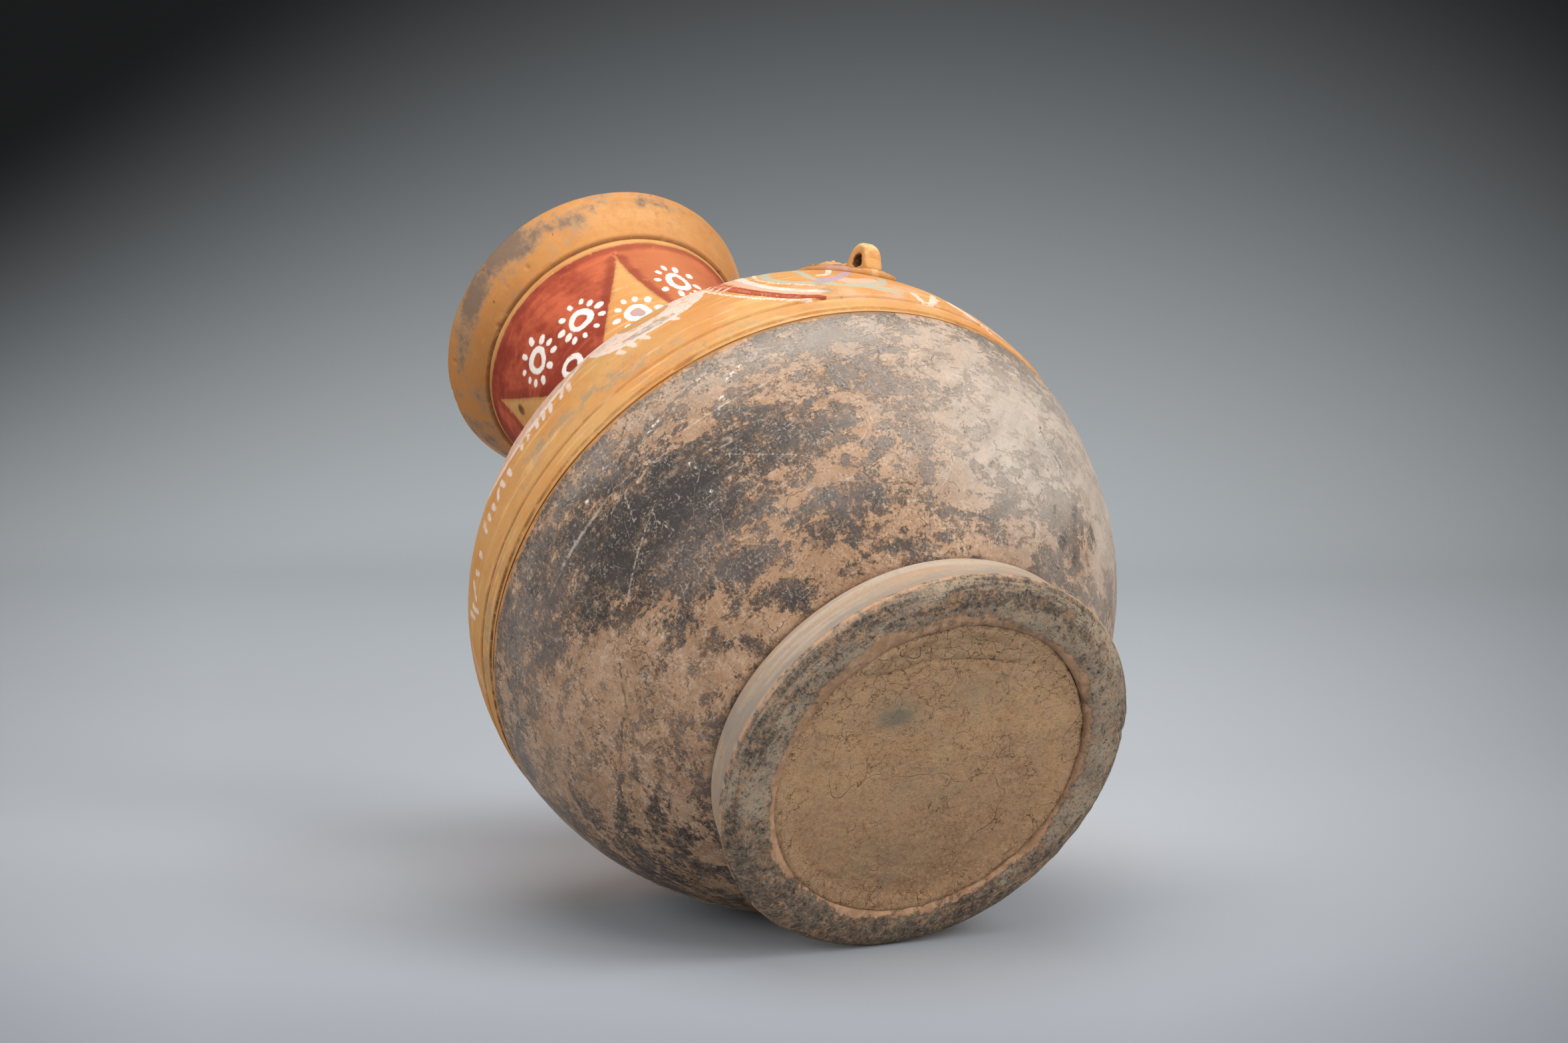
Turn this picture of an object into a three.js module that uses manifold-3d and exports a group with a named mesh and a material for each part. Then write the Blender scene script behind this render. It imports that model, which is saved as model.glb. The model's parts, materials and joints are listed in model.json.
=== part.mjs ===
// Painted earthenware hu vase, in millimetres, standing on its foot with +Z up.
// Wheel-thrown sections are lapped into each other and luted with slip.
// Two moulded mask plaques sit on the shoulder, and each carries a pierced loop.

import * as THREE from 'three';
import { mergeVertices } from 'three/addons/utils/BufferGeometryUtils.js';
import { ParametricGeometry } from 'three/addons/geometries/ParametricGeometry.js';
import Module from 'manifold-3d';

const wasm = await Module();
wasm.setup();

// Fits between luted pieces
const SLIP_GAP = 0.3;
const LAP_HEIGHT = 5;

// Foot ring, from its widest ring inwards
const FOOT_RADIUS = 90;
const FOOT_TAPER = 4;
const FOOT_LIP = 3.6;
const FOOT_LIP_DROP = 2.6;
const FOOT_SEAT_WIDTH = 7.4;
const FOOT_HEIGHT = 27;
const FOOT_ROUND_HEIGHT = 7;
const FOOT_WAIST_SINK = 0.8;
const LEDGE_WIDTH = 6.5;
const LEDGE_HEIGHT = 6;
const REST_WIDTH = 5.5;

// Slab that closes the foot
const BASE_RECESS = 3;
const BASE_THICKNESS = 8;

// Belly and shoulder: two half ellipses that meet at the widest girth
const BELLY_RADIUS = 141.5;
const BELLY_RISE = 120;
const SHOULDER_RISE = 96.6;
const BODY_WALL = 8;
const SPIGOT_WALL = 6.5;

// Joint of the two body halves and the turned groove above it, measured down from the widest girth
const SEAM_DROP = 16;
const SEAM_CHAMFER = 1;
const GROOVE_DROP = 6;
const GROOVE_WIDTH = 2.6;
const GROOVE_DEPTH = 1.3;

// Trumpet neck
const NECK_ROOT_RADIUS = 58;
const NECK_DRAW = 3.4;
const NECK_WAIST_RISE = 26;
const NECK_TOP_RADIUS = 64.8;
const NECK_FLARE_POWER = 1.7;
const NECK_LENGTH = 110;
const NECK_WALL = 7;

// Flared collar with its dished mouth
const COLLAR_STEP = 2.7;
const COLLAR_FLARE = 9.8;
const COLLAR_RISE = 26.3;
const LIP_WIDTH = 6.4;
const LIP_ROUND = 2.4;
const DISH_DEPTH = 13;
const DISH_FLOOR = 3;

// Mask plaques
const LUG_RISE = 37.7;
const MASK_WIDTH = 44;
const MASK_LENGTH = 46;
const MASK_RISE = 13;
const MASK_EDGE = 1.6;
const MASK_THICKNESS = 3.8;
const MASK_CHIN_TAPER = 0.24;
const MASK_CORNER_POWER = 2.7;

// Relief of the mask: half the spacing, height above the middle, radius and swell of each feature
const EYE_OFFSET = 8.2;
const EYE_RISE = 3;
const EYE_RADIUS = 3.6;
const EYE_SWELL = 2.5;
const BROW_RISE = 10;
const BROW_CURL = 0.026;
const BROW_RADIUS = 2.6;
const BROW_SWELL = 2.3;
const BROW_REACH = 17;
const NOSE_TOP = 7;
const NOSE_RADIUS = 3.2;
const NOSE_SWELL = 2.4;
const CHEEK_OFFSET = 11.5;
const CHEEK_DROP = 7.5;
const CHEEK_RADIUS = 4.4;
const CHEEK_SWELL = 1.8;

// Pierced loops
const LOOP_SEAT = 1.6;
const LOOP_HEIGHT = 12.4;
const LOOP_LENGTH = 11.6;
const LOOP_FLARE = 3.2;
const LOOP_FLARE_HEIGHT = 4.6;
const LOOP_WIDTH = 8;
const LOOP_ROUND = 1.7;
const LOOP_CROWN = 4.1;
const HOLE_LENGTH = 6.6;
const HOLE_HEIGHT = 6.2;

// Facets
const TURN_STEPS = 40;
const BODY_STEP_ANGLE = THREE.MathUtils.degToRad(9);
const NECK_STEPS = 6;
const ROUND_STEPS = 4;
const MASK_TURNS = 36;
const MASK_FRONT_RINGS = 9;
const MASK_BACK_RINGS = 3;
const LOOP_STEPS = 10;

// Radii that follow from the foot's widest ring
const footTopRadius = FOOT_RADIUS - FOOT_TAPER;
const bodyFootRadius = footTopRadius - FOOT_LIP;
const footBore = bodyFootRadius - FOOT_SEAT_WIDTH;
const ledgeBore = footBore - LEDGE_WIDTH;
const spigotBore = footBore - SLIP_GAP - SPIGOT_WALL;

// Heights above the resting plane
const baseTop = BASE_RECESS + BASE_THICKNESS;
const girthHeight = FOOT_HEIGHT + BELLY_RISE;
const seamHeight = girthHeight - SEAM_DROP;
const neckHeight = girthHeight + SHOULDER_RISE;
const collarHeight = neckHeight + NECK_LENGTH;
const rimHeight = collarHeight + COLLAR_RISE;

// Half axes of the body's two ellipses, which pass through the foot's seat and the neck's root
const lowerAxis = BELLY_RISE / Math.sqrt(1 - (bodyFootRadius / BELLY_RADIUS) ** 2);
const upperAxis = SHOULDER_RISE / Math.sqrt(1 - (NECK_ROOT_RADIUS / BELLY_RADIUS) ** 2);

// Radii of the neck's and the collar's joints
const neckRootBore = NECK_ROOT_RADIUS - NECK_WALL;
const neckTopBore = NECK_TOP_RADIUS - NECK_WALL;
const rimRadius = NECK_TOP_RADIUS + COLLAR_STEP + COLLAR_FLARE;

const point = (radius, height) => new THREE.Vector2(radius, height);

// Point of the body's outline at an angle from the girth, set in from the outside by a wall
function bodyPoint(angle, inset) {
  const axis = angle < 0 ? lowerAxis : upperAxis;
  return point((BELLY_RADIUS - inset) * Math.cos(angle), girthHeight + (axis - inset) * Math.sin(angle));
}

// Angle from the girth at which the outline reaches a height
function angleAtHeight(height, inset) {
  const rise = height - girthHeight;
  const axis = rise < 0 ? lowerAxis : upperAxis;
  return Math.asin(rise / (axis - inset));
}

// Angle above the girth at which the outline has drawn in to a radius
const angleAtRadius = (radius, inset) => Math.acos(radius / (BELLY_RADIUS - inset));

function bodyArc(from, to, inset) {
  const steps = Math.max(2, Math.ceil(Math.abs(to - from) / BODY_STEP_ANGLE));
  return Array.from({ length: steps + 1 }, (_, i) => bodyPoint(from + (to - from) * i / steps, inset));
}

// Radius of the neck's outside at a height above its root: drawn in to a waist, then flared
function neckRadius(rise) {
  const waist = NECK_ROOT_RADIUS - NECK_DRAW;
  if (rise < NECK_WAIST_RISE) {
    return waist + NECK_DRAW * (1 - rise / NECK_WAIST_RISE) ** 2;
  }
  const flare = (rise - NECK_WAIST_RISE) / (NECK_LENGTH - NECK_WAIST_RISE);
  return waist + (NECK_TOP_RADIUS - waist) * flare ** NECK_FLARE_POWER;
}

function neckLine(from, to, inset) {
  return Array.from({ length: NECK_STEPS + 1 }, (_, i) => {
    const rise = from + (to - from) * i / NECK_STEPS;
    return point(neckRadius(rise) - inset, neckHeight + rise);
  });
}

// Middle of a joint's wall, where the spigot of one section stands inside the next
const jointMiddle = (inner, outer) => (inner + outer) / 2;

// Revolve a closed outline about the upright axis
function turned(outline, closed) {
  const points = closed ? [...outline, outline[0]] : outline;
  const geometry = new THREE.LatheGeometry(points, TURN_STEPS);
  return geometry.rotateX(Math.PI / 2);
}

// Closed solid of a geometry, with its shared vertices merged
function toSolid(geometry) {
  const bare = geometry.clone();
  bare.deleteAttribute('normal');
  bare.deleteAttribute('uv');
  const merged = mergeVertices(bare, 1e-4);
  const triangles = [];
  for (let i = 0; i < merged.index.count; i += 3) {
    const corners = [0, 1, 2].map((k) => merged.index.getX(i + k));
    if (new Set(corners).size === 3) triangles.push(...corners);
  }
  const mesh = new wasm.Mesh({
    numProp: 3,
    vertProperties: new Float32Array(merged.attributes.position.array),
    triVerts: new Uint32Array(triangles),
  });
  return new wasm.Manifold(mesh);
}

function toGeometry(solid) {
  const { vertProperties, triVerts } = solid.getMesh();
  const geometry = new THREE.BufferGeometry();
  geometry.setAttribute('position', new THREE.BufferAttribute(new Float32Array(vertProperties), 3));
  geometry.setIndex(new THREE.BufferAttribute(new Uint32Array(triVerts), 1));
  geometry.computeVertexNormals();
  return geometry;
}

// Slab with a flange that rests on the foot ring's ledge
function baseDisc() {
  const plug = ledgeBore - SLIP_GAP;
  const flange = footBore - SLIP_GAP;
  return turned([
    point(0, BASE_RECESS),
    point(plug, BASE_RECESS),
    point(plug, LEDGE_HEIGHT),
    point(flange, LEDGE_HEIGHT),
    point(flange, baseTop),
    point(0, baseTop),
  ], false);
}

// Low foot with a rounded underside, a flat ring to rest on and a ledge inside
function footRing() {
  const restRadius = ledgeBore + REST_WIDTH;
  const underside = Array.from({ length: ROUND_STEPS + 1 }, (_, i) => {
    const turn = Math.PI / 2 * i / ROUND_STEPS;
    const radius = restRadius + (FOOT_RADIUS - restRadius) * Math.sin(turn);
    return point(radius, FOOT_ROUND_HEIGHT * (1 - Math.cos(turn)));
  });
  const lipHeight = FOOT_HEIGHT - FOOT_LIP_DROP;
  const waistHeight = (FOOT_ROUND_HEIGHT + lipHeight) / 2;
  return turned([
    point(ledgeBore, 0),
    ...underside,
    point(FOOT_RADIUS - FOOT_TAPER / 2 - FOOT_WAIST_SINK, waistHeight),
    point(footTopRadius, lipHeight),
    point(bodyFootRadius, FOOT_HEIGHT),
    point(footBore, FOOT_HEIGHT),
    point(footBore, LEDGE_HEIGHT),
    point(ledgeBore, LEDGE_HEIGHT),
  ], true);
}

// Lower half of the belly: a spigot enters the foot ring, and a tongue rises into the upper half
function lowerBody() {
  const seamAngle = angleAtHeight(seamHeight, 0);
  const innerSeamAngle = angleAtHeight(seamHeight, BODY_WALL);
  const seamOuter = bodyPoint(seamAngle, 0).x;
  const seamInner = bodyPoint(innerSeamAngle, BODY_WALL).x;
  const middle = jointMiddle(seamInner, seamOuter);
  const spigotRadius = footBore - SLIP_GAP;
  const spigotFoot = baseTop + SLIP_GAP;
  const outside = bodyArc(-angleAtRadius(bodyFootRadius, 0), angleAtHeight(seamHeight - SEAM_CHAMFER, 0), 0);
  const inside = bodyArc(innerSeamAngle, -angleAtRadius(spigotBore, BODY_WALL), BODY_WALL);
  return turned([
    point(spigotBore, spigotFoot),
    point(spigotRadius, spigotFoot),
    point(spigotRadius, FOOT_HEIGHT),
    ...outside,
    point(seamOuter - SEAM_CHAMFER, seamHeight),
    point(middle, seamHeight),
    point(middle, seamHeight + LAP_HEIGHT),
    point(seamInner, seamHeight + LAP_HEIGHT),
    ...inside,
  ], true);
}

// Shoulder, with the raised band between the joint and the turned groove
function upperBody() {
  const lapTop = seamHeight + LAP_HEIGHT + SLIP_GAP;
  const seamOuter = bodyPoint(angleAtHeight(seamHeight, 0), 0).x;
  const seamInner = bodyPoint(angleAtHeight(seamHeight, BODY_WALL), BODY_WALL).x;
  const middle = jointMiddle(seamInner, seamOuter) + SLIP_GAP;
  const neckMiddle = jointMiddle(neckRootBore, NECK_ROOT_RADIUS);
  const grooveHeight = girthHeight - GROOVE_DROP;
  const grooveLow = angleAtHeight(grooveHeight - GROOVE_WIDTH / 2, 0);
  const grooveHigh = angleAtHeight(grooveHeight + GROOVE_WIDTH / 2, 0);
  const grooveFloor = bodyPoint(angleAtHeight(grooveHeight, 0), 0).x - GROOVE_DEPTH;
  const outside = bodyArc(grooveHigh, angleAtRadius(NECK_ROOT_RADIUS, 0), 0);
  const inside = bodyArc(angleAtRadius(neckRootBore, BODY_WALL), angleAtHeight(lapTop, BODY_WALL), BODY_WALL);
  return turned([
    point(middle, lapTop),
    point(middle, seamHeight),
    point(seamOuter - SEAM_CHAMFER, seamHeight),
    bodyPoint(angleAtHeight(seamHeight + SEAM_CHAMFER, 0), 0),
    bodyPoint(grooveLow, 0),
    point(grooveFloor, grooveHeight),
    ...outside,
    point(neckMiddle, neckHeight),
    point(neckMiddle, neckHeight + LAP_HEIGHT),
    point(neckRootBore, neckHeight + LAP_HEIGHT),
    ...inside,
  ], true);
}

// Trumpet neck, seated over the shoulder's tongue, with its own tongue inside the collar
function neck() {
  const lapTop = LAP_HEIGHT + SLIP_GAP;
  const rootMiddle = jointMiddle(neckRootBore, NECK_ROOT_RADIUS) + SLIP_GAP;
  const topMiddle = jointMiddle(neckTopBore, NECK_TOP_RADIUS);
  return turned([
    point(rootMiddle, neckHeight + lapTop),
    point(rootMiddle, neckHeight),
    ...neckLine(0, NECK_LENGTH, 0),
    point(topMiddle, collarHeight),
    point(topMiddle, collarHeight + LAP_HEIGHT),
    point(neckTopBore, collarHeight + LAP_HEIGHT),
    ...neckLine(NECK_LENGTH, lapTop, NECK_WALL),
  ], true);
}

// Flared collar that overhangs the neck by a step, with a rounded lip and a dished mouth
function mouthCollar() {
  const lapTop = collarHeight + LAP_HEIGHT + SLIP_GAP;
  const middle = jointMiddle(neckTopBore, NECK_TOP_RADIUS) + SLIP_GAP;
  const lip = Array.from({ length: ROUND_STEPS + 1 }, (_, i) => {
    const turn = Math.PI / 2 * i / ROUND_STEPS;
    const round = point(rimRadius - LIP_ROUND, rimHeight - LIP_ROUND);
    return round.add(point(LIP_ROUND * Math.cos(turn), LIP_ROUND * Math.sin(turn)));
  });
  return turned([
    point(middle, lapTop),
    point(middle, collarHeight),
    point(NECK_TOP_RADIUS + COLLAR_STEP, collarHeight),
    ...lip,
    point(rimRadius - LIP_WIDTH, rimHeight - LIP_ROUND / 2),
    point(rimRadius - LIP_WIDTH - LIP_ROUND, rimHeight - DISH_DEPTH),
    point(neckTopBore, lapTop + DISH_FLOOR),
    point(neckTopBore, lapTop),
  ], true);
}

// The lug's place on the shoulder: its angle from the girth and how fast the outline runs there
const lugAngle = Math.asin(LUG_RISE / upperAxis);
const lugPace = Math.hypot(BELLY_RADIUS * Math.sin(lugAngle), upperAxis * Math.cos(lugAngle));

// Outward direction of the body's outline at an angle from the girth
const bodyNormal = (angle) => point(Math.cos(angle) / BELLY_RADIUS, Math.sin(angle) / upperAxis).normalize();

// Point over the shoulder, from its place across and up the surface and its height off the surface
function overShoulder(across, up, height, target) {
  const angle = lugAngle + up / lugPace;
  const normal = bodyNormal(angle);
  const spot = bodyPoint(angle, 0).addScaledVector(normal, height);
  const turn = across / bodyPoint(angle, 0).x;
  return target.set(spot.x * Math.cos(turn), spot.x * Math.sin(turn), spot.y);
}

const bump = (distance, radius) => Math.exp(-((distance / radius) ** 2));

// Height of the mask's features over its plate: eyes, brows that curl up into horns, nose and cheeks
function maskRelief(across, up) {
  const side = Math.abs(across);
  const eye = EYE_SWELL * bump(Math.hypot(side - EYE_OFFSET, up - EYE_RISE), EYE_RADIUS);
  const browFade = Math.max(0, 1 - (side / BROW_REACH) ** 4);
  const brow = BROW_SWELL * browFade * bump(up - BROW_RISE - BROW_CURL * side ** 2, BROW_RADIUS);
  const noseFade = 1 / (1 + Math.exp(up - NOSE_TOP));
  const nose = NOSE_SWELL * noseFade * bump(side, NOSE_RADIUS);
  const cheek = CHEEK_SWELL * bump(Math.hypot(side - CHEEK_OFFSET, up + CHEEK_DROP), CHEEK_RADIUS);
  return Math.max(eye, brow, nose, cheek);
}

// Shield outline of the mask: a full oval whose lower half tapers to the chin
function maskOutline(turn) {
  const full = (value) => Math.sign(value) * Math.abs(value) ** (2 / MASK_CORNER_POWER);
  const up = full(Math.sin(turn));
  const taper = up < 0 ? 1 + MASK_CHIN_TAPER * up : 1;
  return point(MASK_WIDTH / 2 * full(Math.cos(turn)) * taper, MASK_LENGTH / 2 * up);
}

// Frame of the loop's seat: X up the shoulder, Y along the shoulder's normal, Z across
function lugFrame() {
  const normal = bodyNormal(lugAngle);
  const spot = bodyPoint(lugAngle, 0);
  const up = new THREE.Vector3(-normal.y, 0, normal.x);
  const out = new THREE.Vector3(normal.x, 0, normal.y);
  const across = new THREE.Vector3().crossVectors(up, out);
  return new THREE.Matrix4().makeBasis(up, out, across).setPosition(spot.x, 0, spot.y);
}

// Plaque bent to the shoulder, from the middle of its back round the edge to the middle of its face
function maskPlaque() {
  const rings = MASK_BACK_RINGS + 1 + MASK_FRONT_RINGS;
  const surface = (u, v, target) => {
    const ring = Math.round(v * rings);
    const front = ring > MASK_BACK_RINGS;
    const reach = front ? (rings - ring) / MASK_FRONT_RINGS : ring / MASK_BACK_RINGS;
    const spot = maskOutline(u * 2 * Math.PI).multiplyScalar(reach);
    const crown = Math.sqrt(Math.max(0, 1 - reach ** 4));
    const face = MASK_EDGE + crown * (MASK_THICKNESS - MASK_EDGE + maskRelief(spot.x, spot.y));
    overShoulder(spot.x, spot.y + MASK_RISE, SLIP_GAP + (front ? face : 0), target);
  };
  const plaque = toSolid(new ParametricGeometry(surface, MASK_TURNS, rings));
  const seatLength = LOOP_LENGTH + 2 * (LOOP_FLARE + SLIP_GAP);
  const seat = new THREE.BoxGeometry(seatLength, LOOP_HEIGHT, LOOP_WIDTH + 2 * SLIP_GAP);
  seat.translate(0, LOOP_SEAT + LOOP_HEIGHT / 2, 0).applyMatrix4(lugFrame());
  return toGeometry(plaque.subtract(toSolid(seat)));
}

// Arched loop with flared feet, rounded along its edges, cut flat on its seat and pierced across
function pierceLoop() {
  const half = LOOP_LENGTH / 2;
  const foot = half + LOOP_FLARE;
  const buried = LOOP_ROUND * 2;
  const arch = new THREE.Shape();
  arch.moveTo(-foot, -buried);
  arch.lineTo(foot, -buried);
  arch.lineTo(foot, 0);
  arch.quadraticCurveTo(half, 0, half, LOOP_FLARE_HEIGHT);
  arch.lineTo(half, LOOP_HEIGHT - half);
  arch.absarc(0, LOOP_HEIGHT - half, half, 0, Math.PI);
  arch.lineTo(-half, LOOP_FLARE_HEIGHT);
  arch.quadraticCurveTo(-half, 0, -foot, 0);
  const body = new THREE.ExtrudeGeometry(arch, {
    depth: LOOP_WIDTH - 2 * LOOP_ROUND,
    curveSegments: LOOP_STEPS,
    bevelThickness: LOOP_ROUND,
    bevelSize: LOOP_ROUND,
    bevelOffset: -LOOP_ROUND,
    bevelSegments: 3,
  });
  body.translate(0, 0, LOOP_ROUND - LOOP_WIDTH / 2);
  const hole = new THREE.CylinderGeometry(HOLE_LENGTH / 2, HOLE_LENGTH / 2, LOOP_WIDTH * 2, 2 * LOOP_STEPS);
  hole.rotateX(Math.PI / 2).scale(1, HOLE_HEIGHT / HOLE_LENGTH, 1);
  hole.translate(0, LOOP_HEIGHT - LOOP_CROWN - HOLE_HEIGHT / 2, 0);
  const below = new THREE.BoxGeometry(4 * foot, 4 * buried, 2 * LOOP_WIDTH).translate(0, -2 * buried, 0);
  const solid = toSolid(body).subtract(toSolid(below)).subtract(toSolid(hole));
  return toGeometry(solid).translate(0, LOOP_SEAT + SLIP_GAP, 0).applyMatrix4(lugFrame());
}

function piece(name, geometry, color, roughness) {
  const mesh = new THREE.Mesh(geometry, new THREE.MeshStandardMaterial({ color, roughness, metalness: 0 }));
  mesh.name = name;
  return mesh;
}

const vase = new THREE.Group();
vase.add(piece('base_disc', baseDisc(), '#a58264', 0.95));
vase.add(piece('foot_ring', footRing(), '#8d8377', 0.85));
vase.add(piece('lower_body', lowerBody(), '#4b4745', 0.6));
vase.add(piece('upper_body', upperBody(), '#dea052', 0.8));
vase.add(piece('neck', neck(), '#b4502f', 0.8));
vase.add(piece('mouth_collar', mouthCollar(), '#d08f45', 0.8));

// The two lugs stand opposite each other on the shoulder
for (const [side, turn] of [['right', 0], ['left', Math.PI]]) {
  const lug = new THREE.Group();
  lug.rotation.z = turn;
  lug.add(piece(`mask_${side}`, maskPlaque(), '#d3924a', 0.8));
  lug.add(piece(`loop_${side}`, pierceLoop(), '#e09a4c', 0.8));
  vase.add(lug);
}

export default vase;
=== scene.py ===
"""Looks of a painted earthenware hu vase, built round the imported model.

Each section is an outline carried round the axis on a fine grid. The hand's unevenness, turning marks, pits
and the brushwork are worked out on that grid as whole arrays, and the brushwork reaches the materials as
attributes that hold the distance to each stroke's edge in millimetres.
"""

import json

import bpy
import numpy as np
from bpy.props import FloatProperty, FloatVectorProperty, PointerProperty
from bpy.types import Operator, Panel, PropertyGroup
from mathutils import Matrix, Vector

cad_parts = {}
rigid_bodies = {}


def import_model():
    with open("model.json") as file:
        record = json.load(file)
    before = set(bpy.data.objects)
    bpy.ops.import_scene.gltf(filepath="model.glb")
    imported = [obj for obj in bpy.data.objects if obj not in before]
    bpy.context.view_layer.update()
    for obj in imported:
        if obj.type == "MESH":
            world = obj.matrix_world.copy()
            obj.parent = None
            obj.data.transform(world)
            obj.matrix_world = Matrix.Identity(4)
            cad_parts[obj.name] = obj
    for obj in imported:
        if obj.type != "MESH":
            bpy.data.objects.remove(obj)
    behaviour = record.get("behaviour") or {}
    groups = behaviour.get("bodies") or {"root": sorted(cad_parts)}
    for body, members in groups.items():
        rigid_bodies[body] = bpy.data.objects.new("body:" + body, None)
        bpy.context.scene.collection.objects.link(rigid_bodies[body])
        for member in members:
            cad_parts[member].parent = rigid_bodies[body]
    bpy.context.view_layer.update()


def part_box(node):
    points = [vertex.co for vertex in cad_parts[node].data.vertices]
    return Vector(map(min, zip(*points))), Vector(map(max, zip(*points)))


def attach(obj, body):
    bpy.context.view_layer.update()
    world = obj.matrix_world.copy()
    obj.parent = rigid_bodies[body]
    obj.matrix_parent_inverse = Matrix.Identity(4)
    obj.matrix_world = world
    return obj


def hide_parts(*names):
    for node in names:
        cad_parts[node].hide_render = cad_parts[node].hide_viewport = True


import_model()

bl_info = {
    "name": "Painted hu vase",
    "version": (1, 0, 0),
    "blender": (4, 5, 0),
    "location": "View3D > Sidebar > Vase",
    "description": "Builds a painted earthenware vase of the hu form, section by section",
    "category": "Mesh",
}

MM = 0.001

# The brushwork is laid out from the front of the vase, which lies this far from the right lug
FRONT_TURN = 53.2
LUG_TURNS = {"right": 0.0, "left": np.pi}
# Distance inside a stroke, in millimetres, that stands for no stroke at all
OUTSIDE = -99.0


def top_of(node):
    """Highest point of a CAD node, in metres."""
    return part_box(node)[1].z


def reach_of(node):
    """Widest radius of a CAD node, in metres."""
    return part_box(node)[1].y


def pigment(red, green, blue):
    """Linear colour of a pigment given as display values from 0 to 255."""
    display = np.array([red, green, blue]) / 255
    linear = np.where(display > 0.04045, ((display + 0.055) / 1.055) ** 2.4, display / 12.92)
    return tuple(float(value) for value in linear)


def length(name, description, default, low=0.0, high=1.0):
    """A size in metres for a property group."""
    return FloatProperty(
        name=name, description=description, default=default, min=low, max=high, unit="LENGTH", precision=4
    )


def colour(name, description, default):
    """A pigment for a property group."""
    return FloatVectorProperty(
        name=name, description=description, default=default, subtype="COLOR", size=3, min=0, max=1
    )


def power(name, description, default):
    """A light's power in watts for a property group."""
    return FloatProperty(name=name, description=description, default=default, min=0, unit="POWER")


class HuSizes(PropertyGroup):
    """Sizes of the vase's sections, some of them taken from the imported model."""

    foot_radius: length("Foot radius", "Widest radius of the foot", reach_of("foot_ring"))
    foot_height: length("Foot height", "Top of the foot above the table", top_of("foot_ring"))
    foot_top: length("Foot top", "Radius of the foot under its lip", 0.086)
    body_foot: length("Body at the foot", "Radius where the belly rises out of the foot", 0.0824)
    rest_radius: length("Resting ring", "Radius of the ring that the vase stands on", 0.074)
    slab_radius: length("Slab radius", "Radius of the slab that closes the foot", 0.0684)
    slab_bottom: length("Slab bottom", "Height of the slab's underside", 0.003)
    belly_radius: length("Belly radius", "Widest radius of the belly", reach_of("upper_body"))
    girth: length("Girth height", "Height of the widest place", 0.147)
    seam: length("Seam height", "Height where the burnished half meets the painted one", 0.131)
    groove: length("Groove height", "Height of the turned groove above the seam", 0.141)
    neck_root: length("Neck root", "Height where the neck leaves the shoulder", 0.2436)
    neck_root_radius: length("Neck root radius", "Radius of the neck where it leaves the shoulder", 0.058)
    neck_waist: length("Neck waist", "Smallest radius of the neck", 0.0546)
    neck_top: length("Neck top", "Height where the collar starts", 0.3536)
    neck_top_radius: length("Neck top radius", "Radius of the neck under the collar", 0.0648)
    rim: length("Rim height", "Height of the mouth's rim", top_of("mouth_collar"))
    rim_radius: length("Rim radius", "Radius of the mouth's rim", reach_of("mouth_collar"))
    wall: length("Wall", "Thickness of the belly's wall", 0.008)
    lug_rise: length("Lug rise", "Height of the lugs above the girth", 0.0377)
    unevenness: length("Unevenness", "How far the hand-made surface strays", 0.0005)


class HuPaints(PropertyGroup):
    """Pigments and clays of the vase."""

    ochre: colour("Ochre", "Yellow ochre ground", pigment(206, 155, 95))
    ochre_deep: colour("Deep ochre", "Ochre where the paint lies thick", pigment(203, 140, 78))
    ochre_dark: colour("Dark ochre", "Ochre of the collar", pigment(184, 116, 54))
    ochre_pale: colour("Pale ochre", "Ochre where the paint is rubbed thin", pigment(240, 200, 146))
    red: colour("Red", "Red of the lappets", pigment(146, 56, 38))
    red_deep: colour("Deep red", "Outlines of the lappets", pigment(126, 45, 33))
    red_bright: colour("Bright red", "Red where the paint is thin", pigment(192, 92, 60))
    white: colour("White", "White of the rosettes and scrolls", pigment(240, 228, 216))
    blush: colour("Blush", "Pale pink wash on the scrolls", pigment(216, 172, 148))
    sage: colour("Sage", "Grey green of the inner scrolls", pigment(178, 174, 150))
    lilac: colour("Lilac", "Lilac of the curls by the lugs", pigment(180, 152, 160))
    charcoal: colour("Charcoal", "Burnished clay of the belly", pigment(96, 84, 78))
    charcoal_deep: colour("Deep charcoal", "Burnished clay where it is best kept", pigment(45, 37, 33))
    soil: colour("Soil", "Burial soil that clings to the clay", pigment(189, 149, 116))
    # Deep soil is also laid as painted shade over the lower part of the slab
    soil_deep: colour("Deep soil", "Soil where it is damp and thick", pigment(164, 126, 94))
    soil_pale: colour("Pale soil", "Soil rubbed to a thin film", pigment(208, 190, 170))
    slate: colour("Slate", "Warm grey of the bare clay", pigment(146, 136, 126))
    ash: colour("Ash", "Pale grey film on the bare clay", pigment(191, 177, 163))
    clay: colour("Clay", "Smoothed clay of the foot", pigment(165, 145, 125))
    earth: colour("Earth", "Rough clay of the slab", pigment(250, 200, 150))
    earth_pale: colour("Pale earth", "Rough clay where it is freshly torn", pigment(230, 190, 150))
    earth_deep: colour("Deep earth", "Rough clay of the slab where it is damp", pigment(234, 184, 137))
    foot_dark: colour("Foot shadow", "Brown grey of the foot's underside", pigment(172, 156, 132))
    smudge: colour("Smudge", "Grey green where paint is rubbed away", pigment(150, 138, 116))
    # Also laid as painted shade in grooves, seams, under the collar and inside the loops' holes
    stain_and_shade: colour("Stain", "Brown stain in grooves and cracks", pigment(92, 58, 36))


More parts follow.
